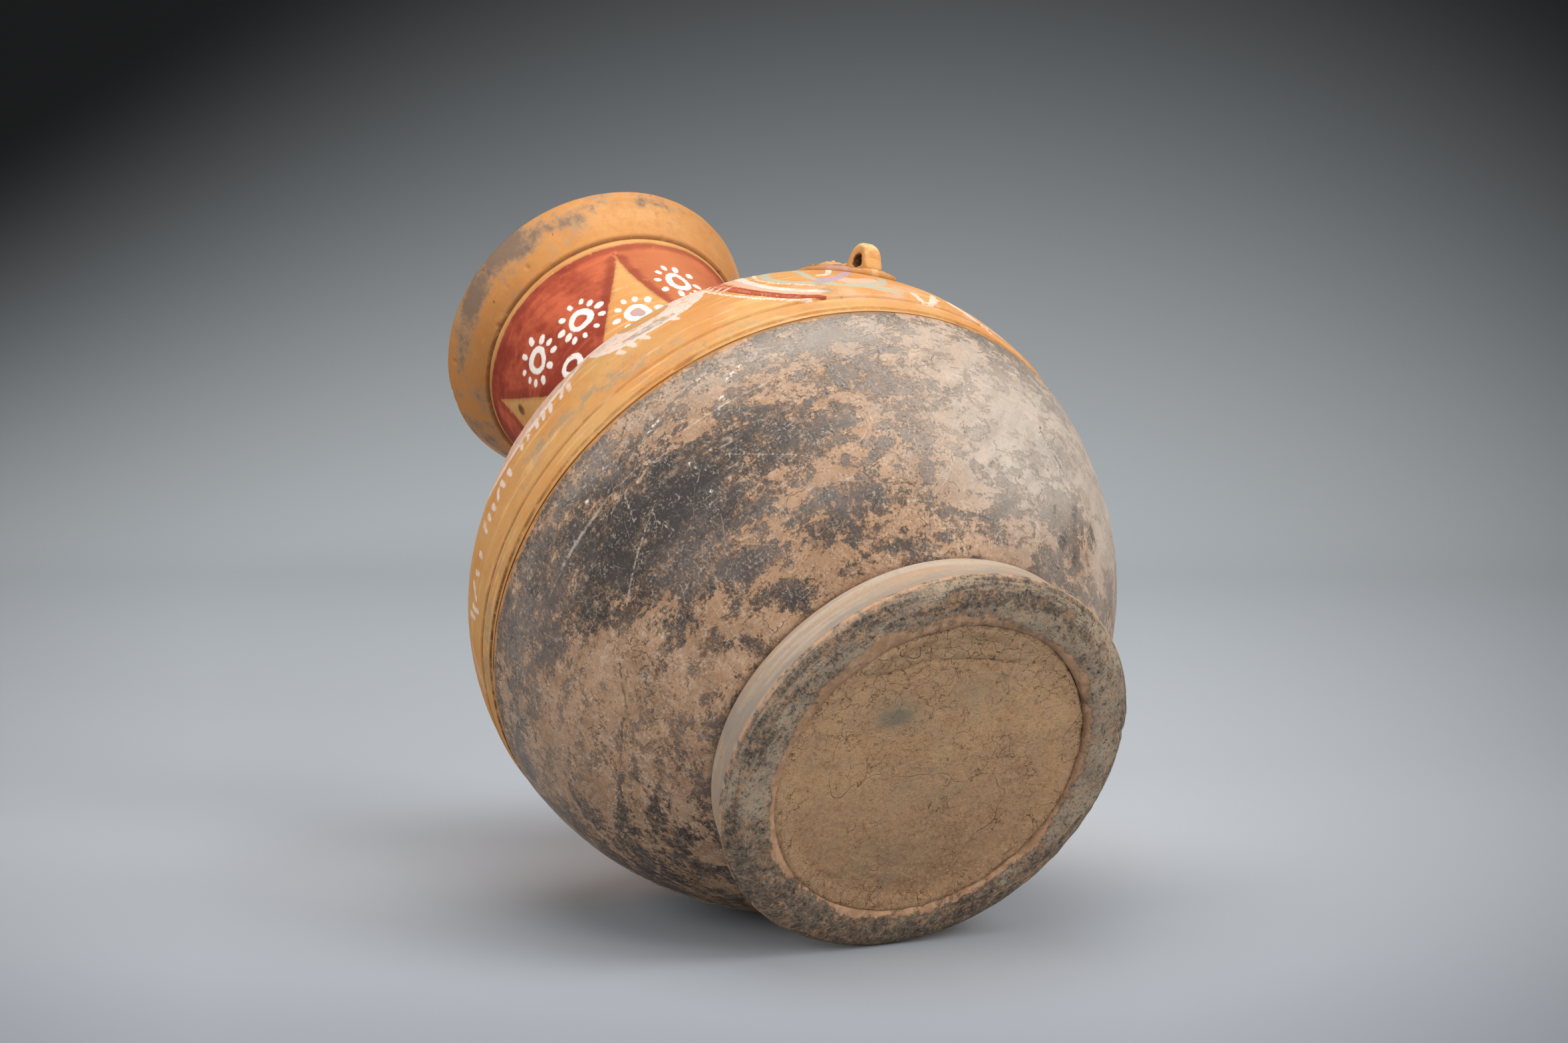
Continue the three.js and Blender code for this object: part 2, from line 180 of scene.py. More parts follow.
class HuStage(PropertyGroup):
    """Camera, floor and lights. The vase lies on its side, so the floor is tilted against its axis."""

    lens: FloatProperty(name="Lens", description="Focal length", default=71.18, unit="CAMERA")
    eye: FloatVectorProperty(
        name="Eye", description="Place of the camera", default=(0.53454, -0.71453, -0.86704), subtype="XYZ"
    )
    aim: FloatVectorProperty(
        name="Aim", description="Point that the camera looks at", default=(0.01243, 0.00897, 0.17981),
        subtype="XYZ",
    )
    floor_normal: FloatVectorProperty(
        name="Floor normal", description="Up direction of the floor", default=(0.88079, -0.16678, 0.44315),
        subtype="DIRECTION",
    )
    floor_drop: length("Floor drop", "Distance from the foot's centre down to the floor", 0.0776)
    # Floor and backdrop colours carry painted light and shade: darker near the camera, lighter far back, near
    # black high up
    floor_near_shade: colour("Near floor", "Paper of the floor towards the camera", pigment(136, 139, 145))
    floor_colour: colour("Floor", "Paper of the floor under the vase", pigment(188, 192, 197))
    floor_far_light: colour("Far floor", "Paper of the floor where it turns up", pigment(212, 217, 220))
    backdrop_shade: colour("Backdrop", "Paper of the backdrop, high up", pigment(29, 29, 30))
    top_power: power("Top light", "Power of the light overhead", 21.6)
    key_power: power("Key light", "Power of the light on the right", 19.2)
    fill_power: power("Fill light", "Power of the light on the left", 21.0)
    front_power: power("Front light", "Power of the light in front", 18.8)
    rear_power: power("Rear light", "Power of the rear light", 16.0)
    ambient: FloatProperty(name="Ambient", description="Strength of the surrounding light", default=0.23)


def scatter(cells, seed):
    """Repeatable number from -1 to 1 for each whole cell: its three indices are mixed by odd multipliers."""
    first, second, third = np.moveaxis(cells, -1, 0)
    mixed = first * 374761393 + second * 668265263 + third * 1442695041 + seed * 974634777
    mixed = (mixed ^ (mixed >> 13)) * 1274126177 & 0xFFFFFFFF
    mixed = (mixed ^ (mixed >> 15)) * 2246822519 & 0xFFFFFFFF
    return (mixed >> 8 & 0xFFFF) / 32767.5 - 1


def lumps(points, size, seed):
    """Smooth noise from -1 to 1 with lumps of a given size: random corner values blended across each cell.

    The size is one length or three, in millimetres. The blend along each axis is 3t^2 - 2t^3.
    """
    place = points / np.asarray(size)
    low = np.floor(place).astype(np.int64)
    part = place - low
    part = part * part * (3 - 2 * part)
    total = np.zeros(points.shape[:-1])
    for corner in np.ndindex(2, 2, 2):
        weight = np.prod(np.where(corner, part, 1 - part), axis=-1)
        total += weight * scatter(low + corner, seed)
    return total


def rough(points, size, seed, layers=4, gain=0.5):
    """Several layers of lumps, each half the size of the last and weaker by the gain."""
    size = np.asarray(size, dtype=float)
    return sum(gain**layer * lumps(points, size / 2**layer, seed + layer) for layer in range(layers))


def smooth_step(value, low, high):
    """0 below low, 1 above high, and 3t^2 - 2t^3 between them."""
    part = np.clip((value - low) / (high - low), 0, 1)
    return part * part * (3 - 2 * part)


def bell(distance, width):
    """Bell curve: exp(-(distance / width)^2)."""
    return np.exp(-((distance / width) ** 2))


def wrapped(angle, period=360.0):
    """Angle in degrees brought to within half a period of zero."""
    return (angle + period / 2) % period - period / 2


def resample(corners, step):
    """Points at even spacing along the straight runs between corners."""
    corners = np.asarray(corners, dtype=float)
    runs = np.hypot(*np.diff(corners, axis=0).T)
    travelled = np.concatenate([[0], np.cumsum(runs)])
    places = np.linspace(0, travelled[-1], max(int(round(travelled[-1] / step)), 2) + 1)
    return np.stack([np.interp(places, travelled, corners[:, axis]) for axis in (0, 1)], axis=-1)


def joined(*runs):
    """One outline out of several runs of points."""
    return np.concatenate([np.asarray(run, dtype=float) for run in runs])


def quarter_round(centre, across, along, start, rows):
    """Quarter of an ellipse round a centre, from the start angle, turning to the left."""
    turn = start + np.linspace(0, np.pi / 2, rows)
    return np.stack([centre[0] + across * np.cos(turn), centre[1] + along * np.sin(turn)], axis=-1)


class Form:
    """Outlines of the vase in millimetres, from the sizes of the property group."""

    def __init__(self, sizes):
        for name in sizes.__annotations__:
            setattr(self, name, getattr(sizes, name) / MM)
        below = np.sqrt(1 - (self.body_foot / self.belly_radius) ** 2)
        above = np.sqrt(1 - (self.neck_root_radius / self.belly_radius) ** 2)
        self.lower_axis = (self.girth - self.foot_height) / below
        self.upper_axis = (self.neck_root - self.girth) / above

    def belly(self, low, high, rows, inset=0.0):
        """Run of the belly between two heights: two half ellipses that meet at the girth.

        The radius is the belly's times cos(t), and the height rises from the girth by an axis times sin(t).
        """
        ends = np.array([low, high])
        rise = (ends - self.girth) / (self.axis_at(ends) - inset)
        turn = np.linspace(*np.arcsin(np.clip(rise, -1, 1)), rows)
        axis = np.where(turn < 0, self.lower_axis, self.upper_axis) - inset
        radii = (self.belly_radius - inset) * np.cos(turn)
        return np.stack([radii, self.girth + axis * np.sin(turn)], axis=-1)

    def axis_at(self, height):
        """Half axis of the ellipse that holds at a height."""
        return np.where(height < self.girth, self.lower_axis, self.upper_axis)

    def belly_radius_at(self, height):
        """Radius of the belly at a height."""
        rise = (height - self.girth) / self.axis_at(height)
        return self.belly_radius * np.sqrt(np.clip(1 - rise**2, 0, 1))

    def belly_normal_at(self, height):
        """Outward direction (radial, upward) of the belly at a height."""
        across = self.belly_radius_at(height) / self.belly_radius**2
        upward = (height - self.girth) / self.axis_at(height) ** 2
        direction = np.stack([across, upward], axis=-1)
        return direction / np.linalg.norm(direction, axis=-1, keepdims=True)

    def on_belly(self, marks):
        """Ends of straight marks on the belly as ways round it and heights, from turns and heights."""
        return [
            (np.radians(a) * self.belly_radius_at(b), b, np.radians(c) * self.belly_radius_at(d), d)
            for a, b, c, d in marks
        ]

    def climb(self, height):
        """Way along the outline from the girth to a height, summed over short chords."""
        line = self.belly(self.seam - 5, self.neck_root, 400)
        way = np.concatenate([[0], np.cumsum(np.hypot(*np.diff(line, axis=0).T))])
        return np.interp(height, line[:, 1], way) - np.interp(self.girth, line[:, 1], way)

    def neck_radius_at(self, height):
        """Trumpet: it draws in from the root to the waist, then opens with a power of the height."""
        rise = np.clip(height - self.neck_root, 0, None)
        waist = 26.0
        pinch = self.neck_root_radius - self.neck_waist
        drawn = self.neck_waist + pinch * np.clip(1 - rise / waist, 0, 1) ** 2
        part = np.clip((rise - waist) / (self.neck_top - self.neck_root - waist), 0, 1)
        return drawn + (self.neck_top_radius - self.neck_waist) * part**1.7


def first_rows(outline, count):
    """True for the first points of an outline, as a column beside its grid."""
    return (np.arange(len(outline)) < count)[:, None]


def carry_round(outline, columns, closed=True):
    """Points and outward directions of an outline carried round the axis on a grid, and azimuths in degrees.

    A point at radius r, height z and azimuth a lies at (r cos a, r sin a, z). The outward direction is the
    outline's tangent turned a quarter to the right, carried round in the same way.
    """
    azimuth = np.linspace(-180, 180, columns, endpoint=False)
    if closed:
        tangent = np.roll(outline, -1, axis=0) - np.roll(outline, 1, axis=0)
    else:
        tangent = np.gradient(outline, axis=0)
    tangent /= np.maximum(np.linalg.norm(tangent, axis=1, keepdims=True), 1e-9)
    east = np.cos(np.radians(azimuth))[None]
    north = np.sin(np.radians(azimuth))[None]
    radius, height = outline[:, :1], outline[:, 1:]
    points = np.stack([radius * east, radius * north, height + 0 * east], axis=-1)
    outward = np.stack([tangent[:, 1:] * east, tangent[:, 1:] * north, -tangent[:, :1] + 0 * east], axis=-1)
    return points, outward, azimuth[None] + 0 * height


def from_front(azimuth):
    """Degrees from the front of the brushwork, between -180 and 180."""
    return wrapped(azimuth + FRONT_TURN)


def hand_wobble(form, points):
    """Slow unevenness of a hand-turned wall, the same for every section at the same place."""
    return form.unevenness * rough(points, 75, 11, layers=2) + 0.06 * lumps(points, (160, 160, 2.6), 17)


def grid_mesh(name, points, fields, poles=False):
    """Mesh over a grid whose columns join up. Its rows join up too, or close in a pole at each end.

    Neighbouring rows and columns give one quad each, and a pole gives a fan of triangles.
    """
    rows, columns = points.shape[:2]
    index = np.arange(rows * columns).reshape(rows, columns)
    keep = np.arange(rows * columns)
    loops, sides = [], []
    if poles:
        inner = index[1:-1] - columns + 2
        below, above = inner[:-1], inner[1:]
        keep = np.concatenate([index[[0, -1], 0], index[1:-1].ravel()])
        first, last = inner[0], inner[-1]
        fans = [
            np.stack([0 * first, np.roll(first, -1), first], axis=-1),
            np.stack([last, np.roll(last, -1), 0 * last + 1], axis=-1),
        ]
        loops += [fan.ravel() for fan in fans]
        sides += [np.full(len(fan), 3) for fan in fans]
    else:
        below, above = index, np.roll(index, -1, axis=0)
    quads = np.stack([below, np.roll(below, -1, axis=1), np.roll(above, -1, axis=1), above], axis=-1)
    loops.append(quads.ravel())
    sides.append(np.full(quads.size // 4, 4))
    loops, sides = np.concatenate(loops), np.concatenate(sides)
    mesh = bpy.data.meshes.new(name)
    mesh.vertices.add(len(keep))
    mesh.vertices.foreach_set("co", (points.reshape(-1, 3)[keep] * MM).ravel().astype(np.float32))
    mesh.loops.add(len(loops))
    mesh.loops.foreach_set("vertex_index", loops.astype(np.int32))
    mesh.polygons.add(len(sides))
    mesh.polygons.foreach_set("loop_start", (np.cumsum(sides) - sides).astype(np.int32))
    mesh.polygons.foreach_set("use_smooth", np.ones(len(sides), dtype=bool))
    mesh.update(calc_edges=True)
    if mesh.validate():
        raise RuntimeError(f"the grid of {name} has broken faces")
    for field, values in fields.items():
        layer = mesh.attributes.new(name=field, type="FLOAT", domain="POINT")
        spread = np.broadcast_to(values, (rows, columns)).ravel()[keep]
        layer.data.foreach_set("value", spread.astype(np.float32))
    return mesh


def place_piece(node, points, fields, material, poles=False):
    """Surface over a grid that stands for a CAD node, rides with the vase and takes the slot's finish."""
    mesh = grid_mesh(f"{node}_surface", points, fields, poles)
    piece = bpy.data.objects.new(f"{node}_surface", mesh)
    bpy.context.scene.collection.objects.link(piece)
    mesh.materials.append(material)
    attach(piece, "root")
    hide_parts(node)


def beside_run(x, y, start, end):
    """Share of the way along a straight run that lies closest to each point, and the distance to it.

    The closest place is the foot of the perpendicular, kept between the run's ends.
    """
    (x0, y0), (x1, y1) = start, end
    run = (x1 - x0) ** 2 + (y1 - y0) ** 2
    part = np.clip(((x - x0) * (x1 - x0) + (y - y0) * (y1 - y0)) / run, 0, 1)
    return part, np.hypot(x - x0 - part * (x1 - x0), y - y0 - part * (y1 - y0))


def strokes(x, y, marks, half_width):
    """Distance inside the nearest of several brush strokes, each a run that tapers to its second end."""
    inside = np.full(np.broadcast(x, y).shape, OUTSIDE)
    for x0, y0, x1, y1 in marks:
        part, away = beside_run(x, y, (x0, y0), (x1, y1))
        inside = np.maximum(inside, half_width * (1.15 - 0.4 * part) - away)
    return inside


def curve_through(points, steps=6):
    """Smooth curve through points: the four-point blend that passes through each and keeps its slope."""
    points = np.asarray(points, dtype=float)
    padded = np.concatenate([2 * points[:1] - points[1:2], points, 2 * points[-1:] - points[-2:-1]])
    before, start, end, after = padded[:-3], padded[1:-2], padded[2:-1], padded[3:]
    part = np.linspace(0, 1, steps, endpoint=False)[None, :, None]
    before, start, end, after = (knot[:, None] for knot in (before, start, end, after))
    curve = start + 0.5 * part * (
        end - before
        + part * (2 * before - 5 * start + 4 * end - after + part * (3 * (start - end) + after - before))
    )
    return np.concatenate([curve.reshape(-1, 2), points[-1:]])


def brush(x, y, path, first_width, last_width):
    """Distance inside a brush line along a smooth curve, whose half width runs from the first to the last."""
    curve = curve_through(path)
    inside = np.full(np.broadcast(x, y).shape, OUTSIDE)
    widths = np.linspace(first_width, last_width, len(curve))
    for start, end, width in zip(curve[:-1], curve[1:], widths):
        _, away = beside_run(x, y, start, end)
        inside = np.maximum(inside, width - away)
    return inside


def oval(x, y, half_width, half_height, power=2.0):
    """Distance inside a full oval, |x/a|^p + |y/b|^p = 1, to first order: level over slope."""
    level = (np.abs(x / half_width) ** power + np.abs(y / half_height) ** power) ** (1 / power)
    level = np.maximum(level, 1e-6)
    slope_x = np.abs(x / half_width) ** (power - 1) * level ** (1 - power) / half_width
    slope_y = np.abs(y / half_height) ** (power - 1) * level ** (1 - power) / half_height
    return (1 - level) / np.maximum(np.hypot(slope_x, slope_y), 1e-6)


def band(x, y, outer, inner, power):
    """Distance inside the ring between two ovals."""
    return np.minimum(oval(x, y, *outer, power), -oval(x, y, *inner, power))


def clouds(across, up, patches):
    """Sum of soft oval patches: each has its place, its two half widths and its weight."""
    total = np.zeros(np.broadcast(across, up).shape)
    for turn, height, wide, tall, weight in patches:
        away = np.hypot(wrapped(across - turn) / wide, (up - height) / tall)
        total += weight * np.exp(-(away**2))
    return total


class Finish:
    """One procedural material: adds its nodes, links them and hands back their outputs."""

    def __init__(self, name):
        self.material = bpy.data.materials.new(name)
        self.material.use_nodes = True
        self.tree = self.material.node_tree
        self.shader = self.tree.nodes["Principled BSDF"]
        self.place = self.node("ShaderNodeTexCoord").outputs["Object"]

    def node(self, kind, **settings):
        """Adds a node with its settings."""
        made = self.tree.nodes.new(kind)
        for key, value in settings.items():
            setattr(made, key, value)
        return made

    def feed(self, socket, value):
        """Links an output to a socket, or sets a plain value on it."""
        if isinstance(value, bpy.types.NodeSocket):
            self.tree.links.new(value, socket)
        elif hasattr(value, "__len__") and len(value) == 3 and socket.type == "RGBA":
            socket.default_value = (*value, 1)
        else:
            socket.default_value = value

    def attribute(self, name):
        """A number that the mesh carries at each vertex."""
        return self.node("ShaderNodeAttribute", attribute_name=name).outputs["Fac"]

    def scaled(self, size, turn=0.0):
        """Object coordinates in cells of a size, one length or three in millimetres, turned about x and y."""
        cell = np.broadcast_to(np.asarray(size, dtype=float), 3)
        mapping = self.node("ShaderNodeMapping", vector_type="TEXTURE")
        mapping.inputs["Scale"].default_value = tuple(MM * cell)
        mapping.inputs["Rotation"].default_value = (turn, turn * 0.7, 0)
        mapping.inputs["Location"].default_value = (0.13 * turn, 0.29 * turn, 0.17 * turn)
        self.feed(mapping.inputs["Vector"], self.place)
        return mapping.outputs["Vector"]

    def noise(self, size, detail=4.0, roughness=0.55, distortion=0.0, turn=0.0):
        """Fractal noise about one half, with lumps of the given size."""
        texture = self.node("ShaderNodeTexNoise")
        self.feed(texture.inputs["Vector"], self.scaled(size, turn))
        texture.inputs["Scale"].default_value = 1
        texture.inputs["Detail"].default_value = detail
        texture.inputs["Roughness"].default_value = roughness
        texture.inputs["Distortion"].default_value = distortion
        return texture.outputs["Fac"]

    def hairlines(self, size, width, turn):
        """Thin long lines of a given width: the level line of a slow noise, drawn out and turned."""
        level = self.math("ABSOLUTE", self.centred(self.noise(size, 2.5, 0.5, 0.0, turn)))
        return self.ramp(level, width, width * 0.3)

    def crackle(self, size, width):
        """1 on the borders of cells of a given size, for cracks of a given share of the cell."""
        texture = self.node("ShaderNodeTexVoronoi", feature="DISTANCE_TO_EDGE")
        bent = self.node("ShaderNodeVectorMath", operation="ADD")
        self.feed(bent.inputs[0], self.scaled(size))
        sway = self.node("ShaderNodeTexNoise")
        self.feed(sway.inputs["Vector"], self.scaled(np.asarray(size) * 0.6))
        sway.inputs["Scale"].default_value = 1
        sway.inputs["Detail"].default_value = 5
        self.feed(bent.inputs[1], sway.outputs["Color"])
        self.feed(texture.inputs["Vector"], bent.outputs["Vector"])
        texture.inputs["Scale"].default_value = 1
        return self.ramp(texture.outputs["Distance"], width, width * 0.2)

    def ramp(self, value, low, high, start=0.0, end=1.0):
        """Smooth step of a value between low and high."""
        node = self.node("ShaderNodeMapRange", interpolation_type="SMOOTHSTEP")
        self.feed(node.inputs["Value"], value)
        node.inputs["From Min"].default_value = low
        node.inputs["From Max"].default_value = high
        node.inputs["To Min"].default_value = start
        node.inputs["To Max"].default_value = end
        return node.outputs["Result"]

    def math(self, operation, first, second=0.0, third=0.0):
        """One sum on numbers."""
        node = self.node("ShaderNodeMath", operation=operation)
        for socket, value in zip(node.inputs, (first, second, third)):
            self.feed(socket, value)
        return node.outputs["Value"]

    def add(self, first, second):
        """Sum of two numbers."""
        return self.math("ADD", first, second)

    def times(self, first, second):
        """Product of two numbers."""
        return self.math("MULTIPLY", first, second)

    def larger(self, first, second):
        """Larger of two numbers."""
        return self.math("MAXIMUM", first, second)

    def centred(self, noise):
        """A noise about zero in place of one half."""
        return self.add(noise, -0.5)

    def summed(self, base, *parts):
        """A number plus others, each times its weight."""
        for value, weight in parts:
            base = self.math("MULTIPLY_ADD", value, weight, base)
        return base

    def broken(self, name, noise, low, high, start=0.0, end=1.0):
        """A number that the mesh carries, broken up by a noise."""
        return self.times(self.attribute(name), self.ramp(noise, low, high, start, end))

    def mix(self, share, under, over):
        """Lays one colour over another by a share."""
        node = self.node("ShaderNodeMix", data_type="RGBA", blend_type="MIX", clamp_factor=True)
        self.feed(node.inputs["Factor"], share)
        self.feed(node.inputs[6], under)
        self.feed(node.inputs[7], over)
        return node.outputs[2]

    def coats(self, shade, *rows):
        """Lays colours over a shade in turn, each where a value passes from low to high, up to a share."""
        for over, value, low, high, share in rows:
            shade = self.mix(self.ramp(value, low, high, 0, share), shade, over)
        return shade

    def stroke(self, name, ragged, wear, sway=1.3, soft=0.35):
        """Share of a painted stroke: its edge strays with a noise, and wear breaks the paint."""
        strayed = self.summed(self.attribute(name), (self.centred(ragged), sway * 2))
        return self.times(self.ramp(strayed, -soft, soft), wear)

    def done(self, colour_out, roughness, height, depth, specular):
        """Sets colour, roughness and bump on the shader and returns the material."""
        bump = self.node("ShaderNodeBump")
        bump.inputs["Strength"].default_value = 1
        bump.inputs["Distance"].default_value = depth * MM
        self.feed(bump.inputs["Height"], height)
        self.feed(self.shader.inputs["Base Color"], colour_out)
        self.feed(self.shader.inputs["Roughness"], roughness)
        self.feed(self.shader.inputs["Normal"], bump.outputs["Normal"])
        self.shader.inputs["Specular IOR Level"].default_value = specular
        return self.material


def slab_finish(paints):
    """Rough tan clay: crumbly grain, mud cracks, a torn pale edge and grey smudges, a rim darkened by dirt
    and painted shade, and painted shade over its lower part.
    """
    look = Finish("rough_earth")
    grain = look.noise(1.0, 6, 0.75)
    crumbs = look.noise(4, 10, 0.76)
    broad = look.noise(30, 8, 0.66)
    pits = look.noise(2.0, 8, 0.88, 0, 1.1)
    torn = look.attribute("torn")
    shade = look.mix(look.ramp(broad, 0.4, 0.6), paints.earth, paints.earth_deep)
    shade = look.coats(
        shade,
        (paints.earth_pale, crumbs, 0.53, 0.62, 0.5),
        (paints.earth_pale, look.noise(10, 8, 0.66, 0, 1.9), 0.46, 0.6, 0.5),
        (paints.soil_deep, crumbs, 0.47, 0.4, 0.36),
    )
    shade = look.mix(look.times(torn, look.ramp(crumbs, 0.44, 0.54, 0.2, 0.85)), shade, paints.earth_pale)
    # Painted shade: deep soil laid over the lower part of the slab
    shade = look.mix(look.attribute("lower_slab_shade"), shade, paints.soil_deep)
    specks = look.times(look.ramp(pits, 0.545, 0.57), look.ramp(broad, 0.4, 0.6, 0.2, 0.5))
    shade = look.mix(specks, shade, paints.stain_and_shade)
    shade = look.coats(
        shade,
        (paints.earth_pale, pits, 0.46, 0.43, 0.7),
        (paints.stain_and_shade, grain, 0.55, 0.62, 0.36),
    )
    cracked = look.add(look.times(torn, 0.2), look.noise(20, 5, 0.6, 0, 2.1))
    cracks = look.times(look.crackle(7, 0.018), look.ramp(cracked, 0.49, 0.57))
    hairs = look.times(look.hairlines(55, 0.0016, 0.4), look.ramp(crumbs, 0.42, 0.5))
    cracks = look.larger(cracks, hairs)
    shade = look.mix(look.times(cracks, 0.75), shade, paints.stain_and_shade)
    grey = look.broken("smudge", crumbs, 0.34, 0.56, 0.35, 1)
    grey = look.larger(grey, look.ramp(look.noise(13, 9, 0.7, 0, 0.9), 0.58, 0.68, 0, 0.35))
    shade = look.mix(grey, shade, paints.foot_dark)
    # Seams and cracks darkened with stain: dirt, and painted shade in the slab's groove
    shade = look.mix(look.broken("seam_darkening", crumbs, 0.42, 0.56), shade, paints.stain_and_shade)
    return look.done(shade, 0.92, look.summed(crumbs, (cracks, -0.7), (grain, 0.5)), 2.0, 0.2)


def foot_finish(paints):
    """Smoothed clay with turning streaks, and a mottled dark underside with tan crumbs at its inner edge,
    painted shade on the side towards the floor and a pale edge that is partly a painted highlight.
    """
    look = Finish("foot_clay")
    streaks = look.noise((60, 60, 4), 8, 0.66)
    slow = look.noise(26, 6, 0.62)
    mottle = look.noise(10, 13, 0.76, 0.2)
    tan = look.noise(7, 13, 0.78, 0, 1.4)
    fine = look.noise(1.3, 6, 0.75)
    rings = look.noise((34, 34, 1.7), 9, 0.72)
    flakes = look.noise(3.4, 10, 0.85, 0, 2.2)
    wall = look.coats(
        paints.clay,
        (paints.soil_pale, streaks, 0.42, 0.64, 0.4),
        (paints.soil, streaks, 0.49, 0.38, 0.75),
        (paints.soil_deep, fine, 0.46, 0.39, 0.35),
        (paints.slate, look.add(slow, look.attribute("grey")), 0.5, 0.66, 0.6),
        (paints.soil, tan, 0.55, 0.62, 0.55),
        (paints.soil_deep, mottle, 0.6, 0.66, 0.5),
    )
    under = look.mix(look.ramp(slow, 0.36, 0.64, 0.1, 0.6), paints.foot_dark, paints.charcoal)
    under = look.coats(
        under,
        # Soot, and painted shade where the underside faces the floor
        (paints.charcoal_deep, look.add(rings, look.attribute("soot_and_shade")), 0.5, 0.58, 0.6),
        (paints.charcoal_deep, mottle, 0.54, 0.6, 0.3),
        (paints.soil_deep, tan, 0.53, 0.59, 0.65),
        (paints.soil, flakes, 0.535, 0.555, 0.55),
        (paints.charcoal_deep, flakes, 0.445, 0.425, 0.8),
        (paints.charcoal_deep, fine, 0.46, 0.39, 0.65),
        (paints.soil, fine, 0.55, 0.62, 0.4),
    )
    edge = look.summed(look.attribute("under"), (look.centred(mottle), 1.0))
    shade = look.mix(look.ramp(edge, 0.42, 0.58), wall, under)
    # Pale edge: wear and a painted highlight
    shade = look.mix(look.broken("arris_wear_and_highlight", tan, 0.42, 0.54), shade, paints.soil)
    ground = look.mix(look.ramp(mottle, 0.44, 0.56), paints.soil, paints.soil_deep)
    ground = look.coats(ground, (paints.stain_and_shade, fine, 0.56, 0.66, 0.5))
    inner = look.summed(look.attribute("inner"), (look.centred(tan), 3.2))
    shade = look.coats(shade, (ground, inner, 0.36, 0.7, 0.85))
    shade = look.mix(look.broken("seam_darkening", mottle, 0.38, 0.54), shade, paints.stain_and_shade)
    height = look.summed(mottle, (streaks, 0.3), (fine, 0.35), (look.ramp(inner, 0.36, 0.7), 0.3))
    rubbed = look.ramp(look.attribute("under"), 0.2, 0.8, 0.6, 0.86)
    return look.done(shade, rubbed, height, 0.7, 0.3)


